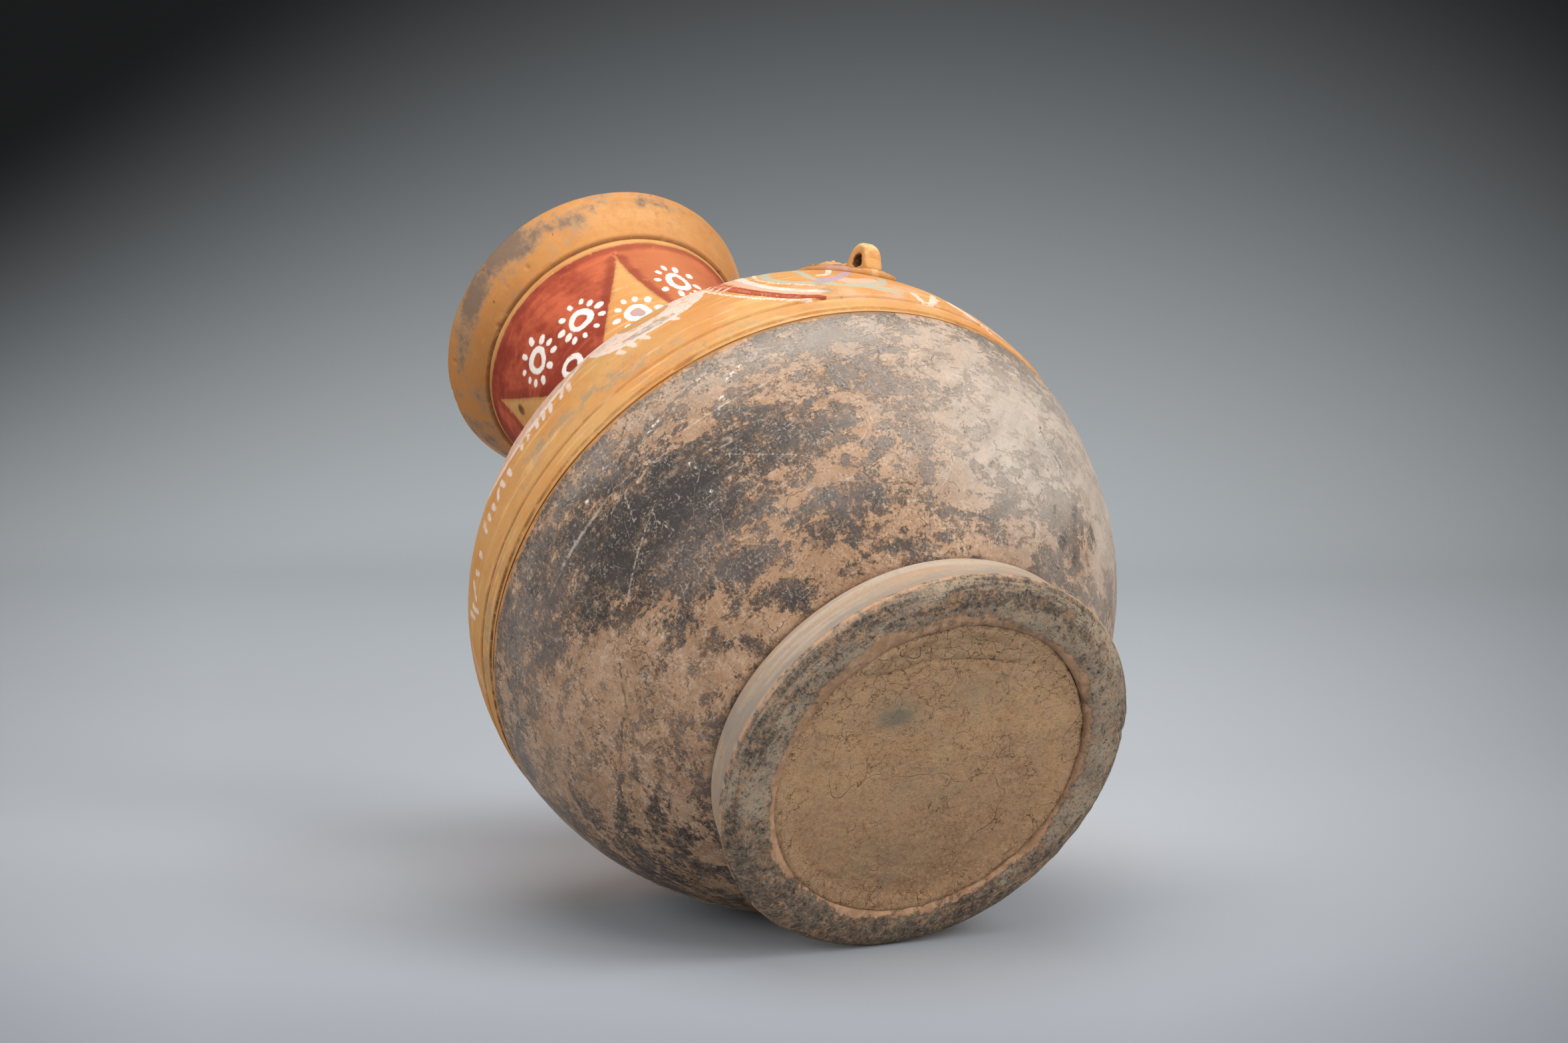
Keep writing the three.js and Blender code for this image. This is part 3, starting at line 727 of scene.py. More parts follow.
def charcoal_finish(paints):
    """Burnished charcoal clay under ragged burial soil and a grey film, with scratches, cracks and flecks,
    and painted shade on the underside by the floor.
    """
    look = Finish("burnished_charcoal")
    broad = look.noise(48, 5, 0.6)
    ragged = look.noise((19, 19, 9), 15, 0.75, 0.2)
    crumbs = look.noise(3.6, 12, 0.82)
    grain = look.noise(1.1, 4, 0.72)
    turning = look.noise((70, 70, 1.4), 7, 0.7)
    flakes = look.noise((4.6, 4.6, 2.4), 10, 0.84, 0, 2.6)
    dark_core_and_shade, soiled = look.attribute("dark_core_and_shade"), look.attribute("soil")
    clay = look.mix(look.ramp(broad, 0.38, 0.62), paints.charcoal, paints.charcoal_deep)
    # Darkest where the clay is best kept, and painted shade on the underside by the floor
    clay = look.mix(dark_core_and_shade, clay, paints.charcoal_deep)
    clay = look.coats(
        clay,
        (paints.slate, turning, 0.52, 0.66, 0.1),
        (paints.charcoal_deep, turning, 0.48, 0.38, 0.3),
    )
    clay = look.mix(look.broken("haze", ragged, 0.36, 0.56, 0.5, 0.95), clay, paints.slate)
    soil = look.mix(look.ramp(look.noise(22, 8, 0.66, 0, 1.2), 0.4, 0.6), paints.soil, paints.soil_deep)
    soil = look.coats(
        soil,
        (paints.soil_pale, crumbs, 0.5, 0.64, 0.6),
        (paints.slate, crumbs, 0.46, 0.36, 0.55),
    )
    soil = look.mix(look.attribute("pale"), soil, paints.soil_pale)
    soil = look.mix(look.attribute("brown"), soil, paints.soil_deep)
    value = look.summed(
        0.5,
        (look.centred(ragged), 1.35),
        (look.centred(broad), 0.28),
        (look.centred(crumbs), 0.5),
        (soiled, 0.45),
    )
    film = look.times(look.ramp(value, 0.3, 0.56), look.ramp(crumbs, 0.42, 0.6, 0.04, 0.5))
    cover = look.larger(film, look.ramp(value, 0.51, 0.53, 0, 0.85))
    cover = look.larger(cover, look.ramp(soiled, 0.02, 0.34, 0, 0.5))
    shade = look.mix(cover, clay, soil)
    loose = look.summed(flakes, (look.add(look.ramp(value, 0.1, 0.55), -1), 0.11))
    kept = look.summed(1.0, (dark_core_and_shade, -0.7))
    shade = look.mix(look.times(look.ramp(loose, 0.53, 0.55, 0, 0.78), kept), shade, soil)
    bared = look.summed(flakes, (look.ramp(value, 0.5, 0.85), 0.06))
    shade = look.coats(shade, (look.mix(0.25, clay, paints.slate), bared, 0.45, 0.43, 0.62))
    haze = look.broken("haze", look.noise(9, 11, 0.74, 0, 0.5), 0.44, 0.62, 0, 0.75)
    shade = look.mix(haze, shade, paints.slate)
    thin = look.coats(
        paints.ash,
        (look.mix(0.2, paints.slate, paints.ash), look.noise((26, 26, 8), 10, 0.7, 0, 0.8), 0.38, 0.66, 0.75),
        (paints.soil, turning, 0.52, 0.66, 0.35),
    )
    veil = look.broken("veil", ragged, 0.36, 0.6, 0.7, 1)
    shade = look.mix(veil, shade, thin)
    bare = look.summed(look.attribute("bare"), (look.centred(flakes), 2.6))
    shade = look.coats(shade, (clay, bare, 0.4, 0.5, 0.7))
    sandy = look.ramp(look.noise(7, 8, 0.7, 0, 3.3), 0.4, 0.6)
    gritty = look.times(sandy, look.ramp(veil, 0.1, 0.6, 1, 0.35))
    shade = look.mix(look.times(look.ramp(grain, 0.54, 0.62, 0, 0.45), gritty), shade, paints.soil_pale)
    shade = look.mix(look.times(look.ramp(grain, 0.46, 0.39, 0, 0.6), gritty), shade, paints.charcoal_deep)
    pale = look.larger(look.hairlines((90, 90, 9), 0.004, 0.5), look.hairlines((14, 70, 70), 0.004, 1.1))
    pale = look.larger(pale, look.hairlines((70, 12, 70), 0.004, 2.3))
    pale = look.times(pale, look.ramp(look.noise(12, 6, 0.7, 0, 1.7), 0.5, 0.6, 0, 0.4))
    shade = look.mix(pale, shade, paints.soil_pale)
    dark = look.larger(look.hairlines((60, 60, 14), 0.005, 0.9), look.hairlines((15, 50, 50), 0.005, 1.9))
    dark = look.times(look.times(dark, gritty), look.ramp(look.noise(11, 6, 0.7, 0, 2.9), 0.48, 0.58, 0, 0.7))
    shade = look.mix(dark, shade, paints.charcoal_deep)
    scratch = look.stroke("scratch", look.noise(2.2, 3), look.ramp(crumbs, 0.4, 0.5), 0.5, 0.3)
    shade = look.mix(look.times(scratch, 0.6), shade, paints.soil_pale)
    split = look.times(look.crackle(17, 0.014), look.ramp(value, 0.54, 0.6))
    split = look.times(split, look.ramp(look.noise(20, 4, 0.6, 0, 3.1), 0.52, 0.6))
    crack = look.stroke("crack", look.noise(5, 8, 0.72), look.ramp(crumbs, 0.4, 0.54, 0.1, 0.8), 3.0, 0.25)
    split = look.larger(split, crack)
    shade = look.mix(look.times(split, 0.75), shade, paints.charcoal_deep)
    fleck = look.stroke("fleck", look.noise(1.6, 4), look.ramp(crumbs, 0.46, 0.54), 1.4, 0.3)
    shade = look.mix(look.times(fleck, 0.9), shade, paints.white)
    shade = look.mix(look.broken("seam_darkening", crumbs, 0.34, 0.54), shade, paints.stain_and_shade)
    shade = look.mix(look.broken("orange", crumbs, 0.34, 0.5), shade, paints.ochre_deep)
    height = look.summed(crumbs, (cover, 0.5), (grain, 0.25), (split, -0.6))
    return look.done(shade, look.ramp(cover, 0, 1, 0.46, 0.84), height, 0.25, 0.36)


def ochre_ground(look, paints, size=30):
    """Ochre laid unevenly, with faint turning streaks and dark specks, and the noises that break it."""
    turning = look.noise((40, 40, 3.2), 8, 0.68)
    crumbs = look.noise(5, 11, 0.75)
    grain = look.noise(0.9, 4, 0.65)
    shade = look.mix(look.ramp(look.noise(size, 6, 0.6), 0.36, 0.64), paints.ochre, paints.ochre_deep)
    shade = look.coats(
        shade,
        (paints.ochre_pale, turning, 0.52, 0.68, 0.45),
        (paints.ochre_deep, turning, 0.46, 0.34, 0.35),
        (paints.soil_pale, crumbs, 0.6, 0.7, 0.4),
    )
    specks = look.times(look.ramp(crumbs, 0.36, 0.28), look.ramp(look.noise(1.6, 3, 0.6), 0.46, 0.56))
    shade = look.mix(look.times(specks, 0.6), shade, paints.stain_and_shade)
    return shade, crumbs, grain, turning


def stains_and_shade(look, paints, shade, crumbs, low, high):
    """Brown stains and painted shade that the crumbs break up, and bare clay on the inside."""
    shade = look.mix(look.broken("stain_and_shade", crumbs, low, high), shade, paints.stain_and_shade)
    return look.mix(look.attribute("inside"), shade, paints.soil_deep)


def shoulder_finish(paints):
    """Ochre ground with cloud scrolls in white, red, blush, sage and lilac, worn and stained, with painted
    shade in the grooves that is strongest on the left.
    """
    look = Finish("ochre_shoulder")
    shade, crumbs, grain, turning = ochre_ground(look, paints)
    fray = look.noise(2.6, 5, 0.65)
    wear = look.ramp(look.noise(4.5, 9, 0.72), 0.34, 0.44)
    film = look.broken("film", look.noise(14, 9, 0.7, 0, 0.6), 0.42, 0.62)
    shade = look.mix(film, shade, paints.blush)
    red = look.coats(paints.red_bright, (paints.blush, look.noise(6, 7, 0.7), 0.48, 0.66, 0.7))
    red = look.mix(look.attribute("red_edge"), red, paints.red)
    chalk = look.mix(0.45, paints.white, paints.blush)
    chalked = look.ramp(look.noise(7, 10, 0.76, 0, 0.9), 0.38, 0.5, 0.4, 1)
    full = 0.94
    laid = (
        ("blush", paints.blush, full),
        ("sage", paints.sage, full),
        ("lilac", paints.lilac, full),
        ("red", red, full),
        ("white", chalk, look.times(chalked, full)),
    )
    for name, paint, share in laid:
        shade = look.mix(look.times(look.stroke(name, fray, wear, 1.0), share), shade, paint)
    streak = look.times(look.stroke("streak", fray, wear, 0.8), 0.7)
    shade = look.mix(streak, shade, paints.foot_dark)
    worn = look.times(look.stroke("worn", fray, wear, 1.4, 0.8), look.ramp(crumbs, 0.38, 0.56))
    shade = look.mix(look.times(worn, 0.75), shade, paints.smudge)
    rubbed = look.broken("rubbed", look.noise(8, 11, 0.76, 0, 0.3), 0.45, 0.56)
    shade = look.mix(rubbed, shade, paints.smudge)
    lines = look.times(look.hairlines((70, 70, 7), 0.004, 0.15), look.ramp(crumbs, 0.5, 0.6, 0, 0.5))
    shade = look.mix(lines, shade, paints.stain_and_shade)
    shade = stains_and_shade(look, paints, shade, crumbs, 0.3, 0.56)
    return look.done(shade, 0.82, look.summed(crumbs, (turning, 0.4), (grain, 0.3)), 0.25, 0.25)


def neck_finish(paints):
    """Red lappets with dark outlines on ochre, white rosettes with dabs round them, a painted highlight where
    the red is lighter on the lit side, and painted shade under the collar.
    """
    look = Finish("red_lappet_neck")
    shade, crumbs, grain, _ = ochre_ground(look, paints, 40)
    fray = look.noise(2.8, 5, 0.62)
    brushed = look.noise((26, 26, 5), 8, 0.66, 0.3)
    wear = look.ramp(look.noise(5, 9, 0.72), 0.33, 0.42)
    red = look.mix(look.ramp(look.noise(28, 6, 0.62, 0, 0.7), 0.42, 0.62), paints.red, paints.red_bright)
    red = look.coats(
        red,
        (paints.red_deep, brushed, 0.48, 0.64, 0.4),
        (paints.red_bright, brushed, 0.46, 0.36, 0.5),
    )
    # Painted highlight: lighter red on the side that the light falls on
    red = look.mix(look.attribute("painted_highlight"), red, look.mix(0.35, paints.red_bright, paints.ochre))
    shade = look.mix(look.stroke("lappet", fray, look.ramp(wear, 0, 1, 0.86, 1), 0.9), shade, red)
    outline = look.times(look.stroke("outline", brushed, wear, 3.0, 1.8), 0.55)
    shade = look.mix(outline, shade, paints.red_deep)
    shade = look.mix(look.times(look.stroke("lilac", fray, wear), 0.85), shade, paints.lilac)
    chalk = look.stroke("white", look.noise(2, 4), look.ramp(wear, 0, 1, 0.7, 1), 0.7)
    shade = look.mix(chalk, shade, paints.white)
    shade = stains_and_shade(look, paints, shade, crumbs, 0.3, 0.5)
    return look.done(shade, 0.82, look.summed(crumbs, (brushed, 0.3), (grain, 0.3)), 0.2, 0.25)


def collar_finish(paints):
    """Ochre paint, worn through to grey clay in patches, with pits and a step darkened by stain and painted
    shade.
    """
    look = Finish("ochre_collar")
    shade, crumbs, grain, turning = ochre_ground(look, paints, 22)
    shade = look.mix(0.7, shade, paints.ochre_dark)
    shade = look.mix(look.broken("film", crumbs, 0.36, 0.6, 0.4, 1), shade, paints.ochre_pale)
    rubbed = look.attribute("rubbed")
    worn = look.summed(look.noise(22, 12, 0.72), (rubbed, 0.32), (look.centred(crumbs), 0.45))
    shade = look.coats(
        shade,
        (look.mix(0.4, paints.smudge, paints.ochre_dark), worn, 0.52, 0.72, 0.9),
        (paints.charcoal, worn, 0.6, 0.78, 0.65),
        (paints.smudge, look.noise(11, 10, 0.74, 0, 1.3), 0.53, 0.66, 0.45),
        (paints.stain_and_shade, look.noise(3.2, 2, 0.5), 0.27, 0.22, 0.7),
    )
    shade = stains_and_shade(look, paints, shade, crumbs, 0.26, 0.5)
    return look.done(shade, 0.8, look.summed(crumbs, (turning, 0.4), (grain, 0.3)), 0.3, 0.27)


def lug_finish(paints, name):
    """Ochre paint on moulded clay: pale on the high places, brown in the hollows with painted shade inside
    the loops' holes, lilac beside them.
    """
    look = Finish(name)
    shade, crumbs, grain, _ = ochre_ground(look, paints, 12)
    shade = look.mix(look.broken("raised", crumbs, 0.4, 0.6), shade, paints.ochre_pale)
    tint = look.broken("tint", look.noise(9, 6, 0.65), 0.45, 0.58)
    shade = look.mix(tint, shade, paints.lilac)
    shade = look.mix(look.broken("hollow", crumbs, 0.28, 0.6), shade, paints.stain_and_shade)
    return look.done(shade, 0.8, look.summed(crumbs, (grain, 0.4)), 0.35, 0.27)


# Top of the slab, rounding of its edge, and turn of its torn side from the front
SLAB_TOP = 11.0
SLAB_EDGE = 0.5
TORN_TURN = 42.0
# Grey patches on the slab: way towards its torn side, way across, half widths and weight
SLAB_SMUDGES = (
    (27, -22, 3.5, 6, 1.0), (29, -23, 9, 11, 0.7), (-8, 2, 14, 22, 0.25), (-42, -8, 8, 16, 0.3),
    (0, 0, 1.6, 1.8, 0.7), (-15, 9, 1.9, 1.6, 0.7), (-53, -8, 3, 4, 0.6), (-47, -20, 2, 3, 0.5),
    (36, 10, 9, 11, 0.4), (6, 34, 8, 5, 0.3),
)


class HU_OT_base_disc(Operator):
    """Builds the rough slab that closes the foot."""

    bl_idname = "hu.base_disc"
    bl_label = "Base disc"

    def execute(self, context):
        form = Form(context.scene.hu_sizes)
        flat = form.slab_radius - SLAB_EDGE
        underside = np.stack([np.linspace(0, flat, 104), np.full(104, form.slab_bottom)], axis=-1)
        edge = quarter_round((flat, form.slab_bottom + SLAB_EDGE), SLAB_EDGE, SLAB_EDGE, -np.pi / 2, 5)
        top = [(form.slab_radius, SLAB_TOP - 0.4), (form.slab_radius - 0.8, SLAB_TOP)]
        middle = [(40, SLAB_TOP), (20, SLAB_TOP), (0, SLAB_TOP)]
        outline = joined(underside, edge[1:], top, middle)
        points, outward, azimuth = carry_round(outline, 512, closed=False)
        radius = outline[:, :1]
        below = first_rows(outline, len(underside) + 4)
        front = from_front(azimuth)
        toward = np.radians(TORN_TURN - FRONT_TURN)
        east, north = points[..., 0], points[..., 1]
        along = east * np.cos(toward) + north * np.sin(toward)
        sweep = north * np.cos(toward) - east * np.sin(toward)
        line = along - 53 + 0.004 * sweep**2 - 1.6 * lumps(points, 13, 43)
        crack = bell(line, 0.45) * smooth_step(np.abs(sweep + 4), 36, 28)
        torn = smooth_step(line, 0, 3) * smooth_step(np.abs(sweep), 50, 36)
        crumble = 0.45 * rough(points, 26, 31, 3, 0.5) + 0.2 * rough(points, 4, 37, 3, 0.6)
        worn = crumble + 0.5 * torn * rough(points, 6, 47, 3) - 0.4 * crack + 0.5 * torn - 0.4
        smear = 2.0 + 0.4 * lumps(points, 5, 51) - 1.5 * bell(wrapped(front - 110), 55)
        smear = smear * smooth_step(radius + 1.5 * lumps(points, 9, 49), 60, 68)
        relief = np.where(below, worn + smear, 0)[..., None]
        fresh = torn + 0.4 * smooth_step(along, 10, 50) + 0.3 * smooth_step(radius, 61, 66)
        seam = smooth_step(radius + 0.8 * lumps(points, 7, 157), 67, 68.2)
        # Dirt in the seam and painted shade of its groove, strongest on the right where the slab sits lowest
        groove_shade_and_dirt = 0.1 + 0.9 * bell(wrapped(front - 105), 55) + 0.4 * lumps(points, 26, 159)
        fields = {
            "smudge": clouds(along, sweep, SLAB_SMUDGES),
            "torn": np.clip(fresh, 0, 1) * below,
            # painted shade, darker towards the bottom of the slab
            "lower_slab_shade": 0.55 * smooth_step(along, 30, -60) * below,
            "seam_darkening": seam * np.clip(groove_shade_and_dirt, 0, 1) + 0.6 * crack,
        }
        finish = slab_finish(context.scene.hu_paints)
        place_piece("base_disc", points + outward * relief, fields, finish, poles=True)
        return {"FINISHED"}


# Height of the foot's rounded underside, and radius of the bore behind the slab
FOOT_ROUND = 7.0
FOOT_BORE = 75.0


class HU_OT_foot_ring(Operator):
    """Builds the turned foot with its rounded underside."""

    bl_idname = "hu.foot_ring"
    bl_label = "Foot ring"

    def execute(self, context):
        form = Form(context.scene.hu_sizes)
        bore = form.slab_radius + 0.2
        rest = [(bore, 6), (bore, 3), (bore + 0.5, 1.5), (bore + 1.8, 0.6), (bore + 3.4, 0.15)]
        rest.append((form.rest_radius, 0))
        spread = form.foot_radius - form.rest_radius
        under = quarter_round((form.rest_radius, FOOT_ROUND), spread, FOOT_ROUND, -np.pi / 2, 36)
        lip = form.foot_height - 2.6
        climb = np.linspace(0, 1, 24)[1:]
        wall = np.stack([
            form.foot_radius + (form.foot_top - form.foot_radius) * climb - 0.9 * np.sin(np.pi * climb),
            FOOT_ROUND + (lip - FOOT_ROUND) * climb,
        ], axis=-1)
        shoulder = quarter_round((form.foot_top - 2.2, lip), 2.2, 1.8, 0, 7)[1:]
        shelf = form.foot_height - 0.4
        back = [(form.body_foot - 0.6, shelf), (FOOT_BORE, shelf), (FOOT_BORE, 12), (FOOT_BORE, 6.2)]
        outline = joined(resample(rest, 0.7), under[1:], wall, shoulder, back)
        points, outward, azimuth = carry_round(outline, 640)
        radius, height = outline[:, :1], outline[:, 1:]
        outside = first_rows(outline, len(outline) - len(back))
        front = from_front(azimuth)
        underside = smooth_step(7.5 - height, -2.5, 3) * outside
        pitted = 0.25 * underside * rough(points, 9, 53, 4, 0.6)
        chips = -0.9 * smooth_step(lumps(points, 9, 59), 0.62, 0.9) * bell(height - 6, 4)
        turning = 0.1 * lumps(points, (200, 200, 2.2), 61) * (1 - underside)
        wobble = hand_wobble(form, points) * smooth_step(height, 0, 8)
        relief = np.where(outside, wobble + pitted + chips + turning, 0)[..., None]
        inner_edge = radius + 1.5 * lumps(points, 12, 151) - 5.5 * bell(wrapped(front - 15), 45)
        crumbly = smooth_step(height, 7, 3) * outside * (0.85 + 0.25 * lumps(points, 30, 155))
        arc = bell(radius - 82 - lumps(points, 20, 163), 5) * (0.1 + 0.9 * bell(wrapped(front - 54), 32))
        # Painted shade on the underside where it faces the floor, and a slight darkening towards the outer
        # edge
        floor_side_shade = 0.28 * bell(wrapped(front + 125), 50) + 0.05 * smooth_step(radius, 80, 88)
        paler = 0.12 * smooth_step(height, 14, 8) - 0.1 * smooth_step(height, 14, 18)
        at_lip = smooth_step(height, form.foot_height - 2.4, form.foot_height - 0.8)
        # The inner wall by the slab is darkened: dirt and painted shade in the groove
        at_slab = smooth_step(radius, 69.8, 68.8) * smooth_step(lumps(points, 26, 159), -0.4, 0.4)
        fields = {
            "under": smooth_step(height + 1.2 * lumps(points, 22, 67), 9.5, 5.5) * outside,
            "inner": smooth_step(inner_edge, 74.5, 69) * crumbly,
            # Pale line along the edge: worn clay and a painted highlight
            "arris_wear_and_highlight": bell(height - 6.6 - 0.6 * lumps(points, 15, 153), 1.1) * outside,
            "soot_and_shade": floor_side_shade + 0.12 * arc - 0.02,
            "grey": paler + 0.16 * bell(wrapped(front + 45), 26),
            "seam_darkening": 0.8 * at_lip + 0.5 * at_slab,
        }
        finish = foot_finish(context.scene.hu_paints)
        place_piece("foot_ring", points + outward * relief, fields, finish)
        return {"FINISHED"}


# Soft patches on the belly: turn from the front, height, half widths and weight
BELLY_PATCHES = {
    "dark_core_and_shade": (
        # The first patch darkens the underside by the floor as painted shade; the others are the best-kept
        # dark clay
        (-104, 70, 28, 34, 0.4), (-5, 87, 14, 16, 1.0), (-20, 80, 14, 18, 0.5), (10, 86, 10, 12, 0.5),
        (14, 70, 12, 14, 0.4),
    ),
    "veil": (
        (78, 88, 30, 36, 0.66), (62, 54, 18, 19, 0.62), (98, 74, 24, 50, 0.6), (36, 118, 26, 12, 0.42),
        (50, 84, 14, 20, 0.32), (87, 51, 6, 12, -0.6),
    ),
    "bare": (
        (83, 57, 2.2, 6, 0.5), (91, 56, 2.4, 7, 0.6), (86, 42, 2, 4.5, 0.7), (80, 43, 1.8, 4.5, 0.7),
        (84, 66, 2, 4, 0.3), (76, 50, 1.6, 6, 0.45),
    ),
    "brown": (
        (2, 40, 18, 14, 0.7), (18, 64, 18, 16, 0.4), (30, 100, 22, 20, 0.3), (26, 44, 12, 10, 0.3),
    ),
    "soil": (
        (-5, 87, 13, 15, -0.42), (-18, 82, 14, 18, -0.26), (10, 86, 9, 12, -0.2), (18, 76, 7, 12, -0.12),
        (-26, 112, 20, 11, -0.2), (-36, 100, 10, 9, -0.16), (0, 66, 9, 8, -0.1), (12, 60, 9, 10, 0.02),
        (24, 92, 8, 10, 0.12), (-30, 66, 14, 10, 0.1), (-6, 121, 7, 7, 0.22), (8, 108, 12, 12, 0.24),
        (2, 96, 5, 5, 0.16), (-31, 112, 3, 7, 0.2), (-60, 74, 22, 24, 0.24), (-40, 66, 12, 10, 0.24),
        (-52, 104, 10, 16, 0.06), (-72, 106, 12, 14, 0.12), (-20, 34, 80, 13, 0.12),
        (-38, 46, 30, 10, 0.16), (26, 104, 10, 18, 0.02), (50, 110, 7, 16, 0.26), (66, 92, 14, 22, 0.24),
        (40, 78, 8, 14, 0.16), (34, 62, 14, 10, 0.06), (48, 66, 6, 10, 0.2), (66, 52, 8, 13, -0.02),
        (64, 36, 12, 6, 0.1), (30, 42, 24, 7, 0.02), (-17, 34, 3.5, 4, -0.4), (0, 35, 5, 4, -0.4),
        (-5, 48, 4, 5, -0.34), (-22, 50, 4, 4, -0.3), (-70, 45, 4, 4, -0.14), (17, 46, 6, 6, -0.2),
        (55, 35, 5, 3, -0.2), (83, 57, 4, 6, -0.4), (91, 57, 4, 6, -0.4), (86, 41, 2, 4, -0.4),
        (80, 42, 2, 5, -0.3), (150, 80, 40, 40, 0.1), (-150, 90, 40, 30, -0.1), (-120, 50, 40, 30, 0.14),
        (120, 100, 30, 30, -0.08), (96, 92, 12, 34, 0.3), (64, 74, 12, 14, 0.16), (94, 66, 14, 28, 0.26),
        # The patches at turns -76 and -102 take soil off the underside by the floor: painted shade
        (34, 114, 12, 10, 0.04), (-62, 92, 12, 10, 0.12), (-76, 42, 17, 14, -0.12),
        (-102, 72, 26, 30, -0.16),
    ),
    "pale": (
        # The patch at turn 104 lifts the right limb where the light falls: painted light as well as pale soil
        (30, 120, 22, 12, 0.5), (68, 98, 20, 26, 0.4), (-72, 112, 14, 14, 0.3), (104, 90, 24, 40, 0.3),
        (-140, 110, 40, 16, 0.5), (64, 70, 16, 18, 0.4),
    ),
    "haze": (
        (66, 52, 9, 15, 0.5), (32, 110, 20, 18, 0.75), (34, 72, 12, 12, 0.5), (44, 56, 10, 10, 0.55),
        (74, 96, 22, 30, 0.85), (-66, 92, 18, 22, 0.35), (-54, 112, 16, 10, 0.5), (14, 58, 10, 8, 0.4),
        (22, 121, 26, 9, 0.75), (-20, 122, 20, 6, 0.45), (150, 60, 40, 30, 0.4), (90, 88, 8, 24, 0.15),
    ),
}
# Small pits, laid out in the same way
BELLY_PITS = ((-7.5, 122, 0.7, 1.6, 1), (-58, 85, 0.8, 1.8, 1), (-69, 74, 1, 2, 1))
# Scratches, cracks and white flecks: half width, then turn and height of each mark's two ends
BELLY_MARKS = {
    "scratch": (0.3, (
        (-43, 103.6, -18, 103.2), (-30, 104.2, 2, 103.6), (2, 103, 22, 103.4), (5.2, 84, 23.7, 62),
        (-27.5, 71, -10, 87), (32, 78, 33.4, 63), (39, 68, 41, 51), (-13, 99, -15, 88),
        (-12, 82, -10, 71), (48, 96, 62, 92), (-1, 90, -1.4, 87), (8, 82, 14, 65), (-20, 118, -2, 111),
        (34, 45, 40, 44),
    )),
    "crack": (0.35, (
        (-46, 57, -38, 64), (-38, 64, -30, 72), (-70, 45, -62, 52), (-76, 80, -62, 80), (52, 40, 60, 38),
        (-60, 57, -48, 57), (74, 77, 80, 68), (-24, 40, -16, 36), (30, 52, 40, 49),
    )),
    "fleck": (0.5, (
        (8, 100, 9.4, 106), (9.4, 106, 10.6, 107), (11.4, 110, 13, 114), (13, 114, 16, 117),
        (8.4, 120, 10.6, 120.6), (-3, 113, 2, 116.4), (-13, 114, -12.6, 117), (-19, 111, -16, 111.4),
        (-1, 90, -0.4, 86.6), (-0.8, 76, 0.2, 76.6),
    )),
}


class HU_OT_lower_body(Operator):
    """Builds the burnished half of the belly, from the foot to the seam."""

    bl_idname = "hu.lower_body"
    bl_label = "Lower body"

    def execute(self, context):
        form = Form(context.scene.hu_sizes)
        outer = form.belly(form.foot_height - 0.3, form.seam - 0.9, 122)
        inner = form.belly(form.seam - 0.2, form.foot_height + 2, 12, form.wall)
        seam = [(outer[-1, 0] - 0.25, form.seam - 0.35), (outer[-1, 0] - 1.2, form.seam - 0.15)]
        outline = joined(outer, seam, inner, [(FOOT_BORE - 0.2, form.foot_height - 0.3)])
        points, outward, azimuth = carry_round(outline, 704)
        height = outline[:, 1:]
        outside = first_rows(outline, len(outer) + 1)
        front = from_front(azimuth)
        across = np.radians(front) * form.belly_radius_at(height)
        pits = -0.8 * clouds(front, height, BELLY_PITS)
        nicks = -0.5 * smooth_step(lumps(points, 6, 71), 0.8, 0.97)
        worn = hand_wobble(form, points) + 0.12 * rough(points, 14, 73, 3) + pits + nicks
        relief = np.where(outside, worn, 0)[..., None]
        fields = {name: clouds(front, height, patches) for name, patches in BELLY_PATCHES.items()}
        fields["dark_core_and_shade"] = np.clip(fields["dark_core_and_shade"], 0, 1)
        fields["veil"] = np.clip(fields["veil"], 0, 0.9)
        for name, (half_width, marks) in BELLY_MARKS.items():
            fields[name] = strokes(across, height, form.on_belly(marks), half_width)
        at_foot = smooth_step(height, form.foot_height + 3, form.foot_height)
        at_seam = smooth_step(height, form.seam - 1.6, form.seam - 0.9) * outside
        fields["seam_darkening"] = 0.9 * at_foot + 0.5 * at_seam
        strayed = smooth_step(height + lumps(points, 9, 79), form.seam - 2.4, form.seam - 1.4)
        fields["orange"] = strayed * np.clip(bell(wrapped(front + 30), 48) + 0.3, 0, 1) * outside
        finish = charcoal_finish(context.scene.hu_paints)
        place_piece("lower_body", points + outward * relief, fields, finish)
        return {"FINISHED"}


# Radius at which the shoulder's brushwork is laid out flat
FLAT_RADIUS = 137.5
# Paints of the shoulder's brushwork
BRUSH_PAINTS = ("white", "red", "blush", "sage", "lilac", "worn")
# Oval scrolls of half the shoulder, which repeats opposite: turn, way up from the girth and power of the
# oval, then each band's paint with the half widths and half heights of its outer and inner edges
OVAL_SCROLLS = (
    (-22, 62, 2.4, (
        ("blush", (45, 33), (24, 14)), ("white", (46.5, 34.5), (43, 31)), ("white", (26, 16), (23, 13)),
    )),
    (8.5, 47, 2.4, (("white", (29.5, 29), (13, 15)), ("worn", (26, 27), (15, 17)))),
    (90, 58, 2.4, (
        ("blush", (38, 33), (22, 15)), ("white", (39, 34), (36, 31)), ("white", (23, 16), (20, 13)),
    )),
)
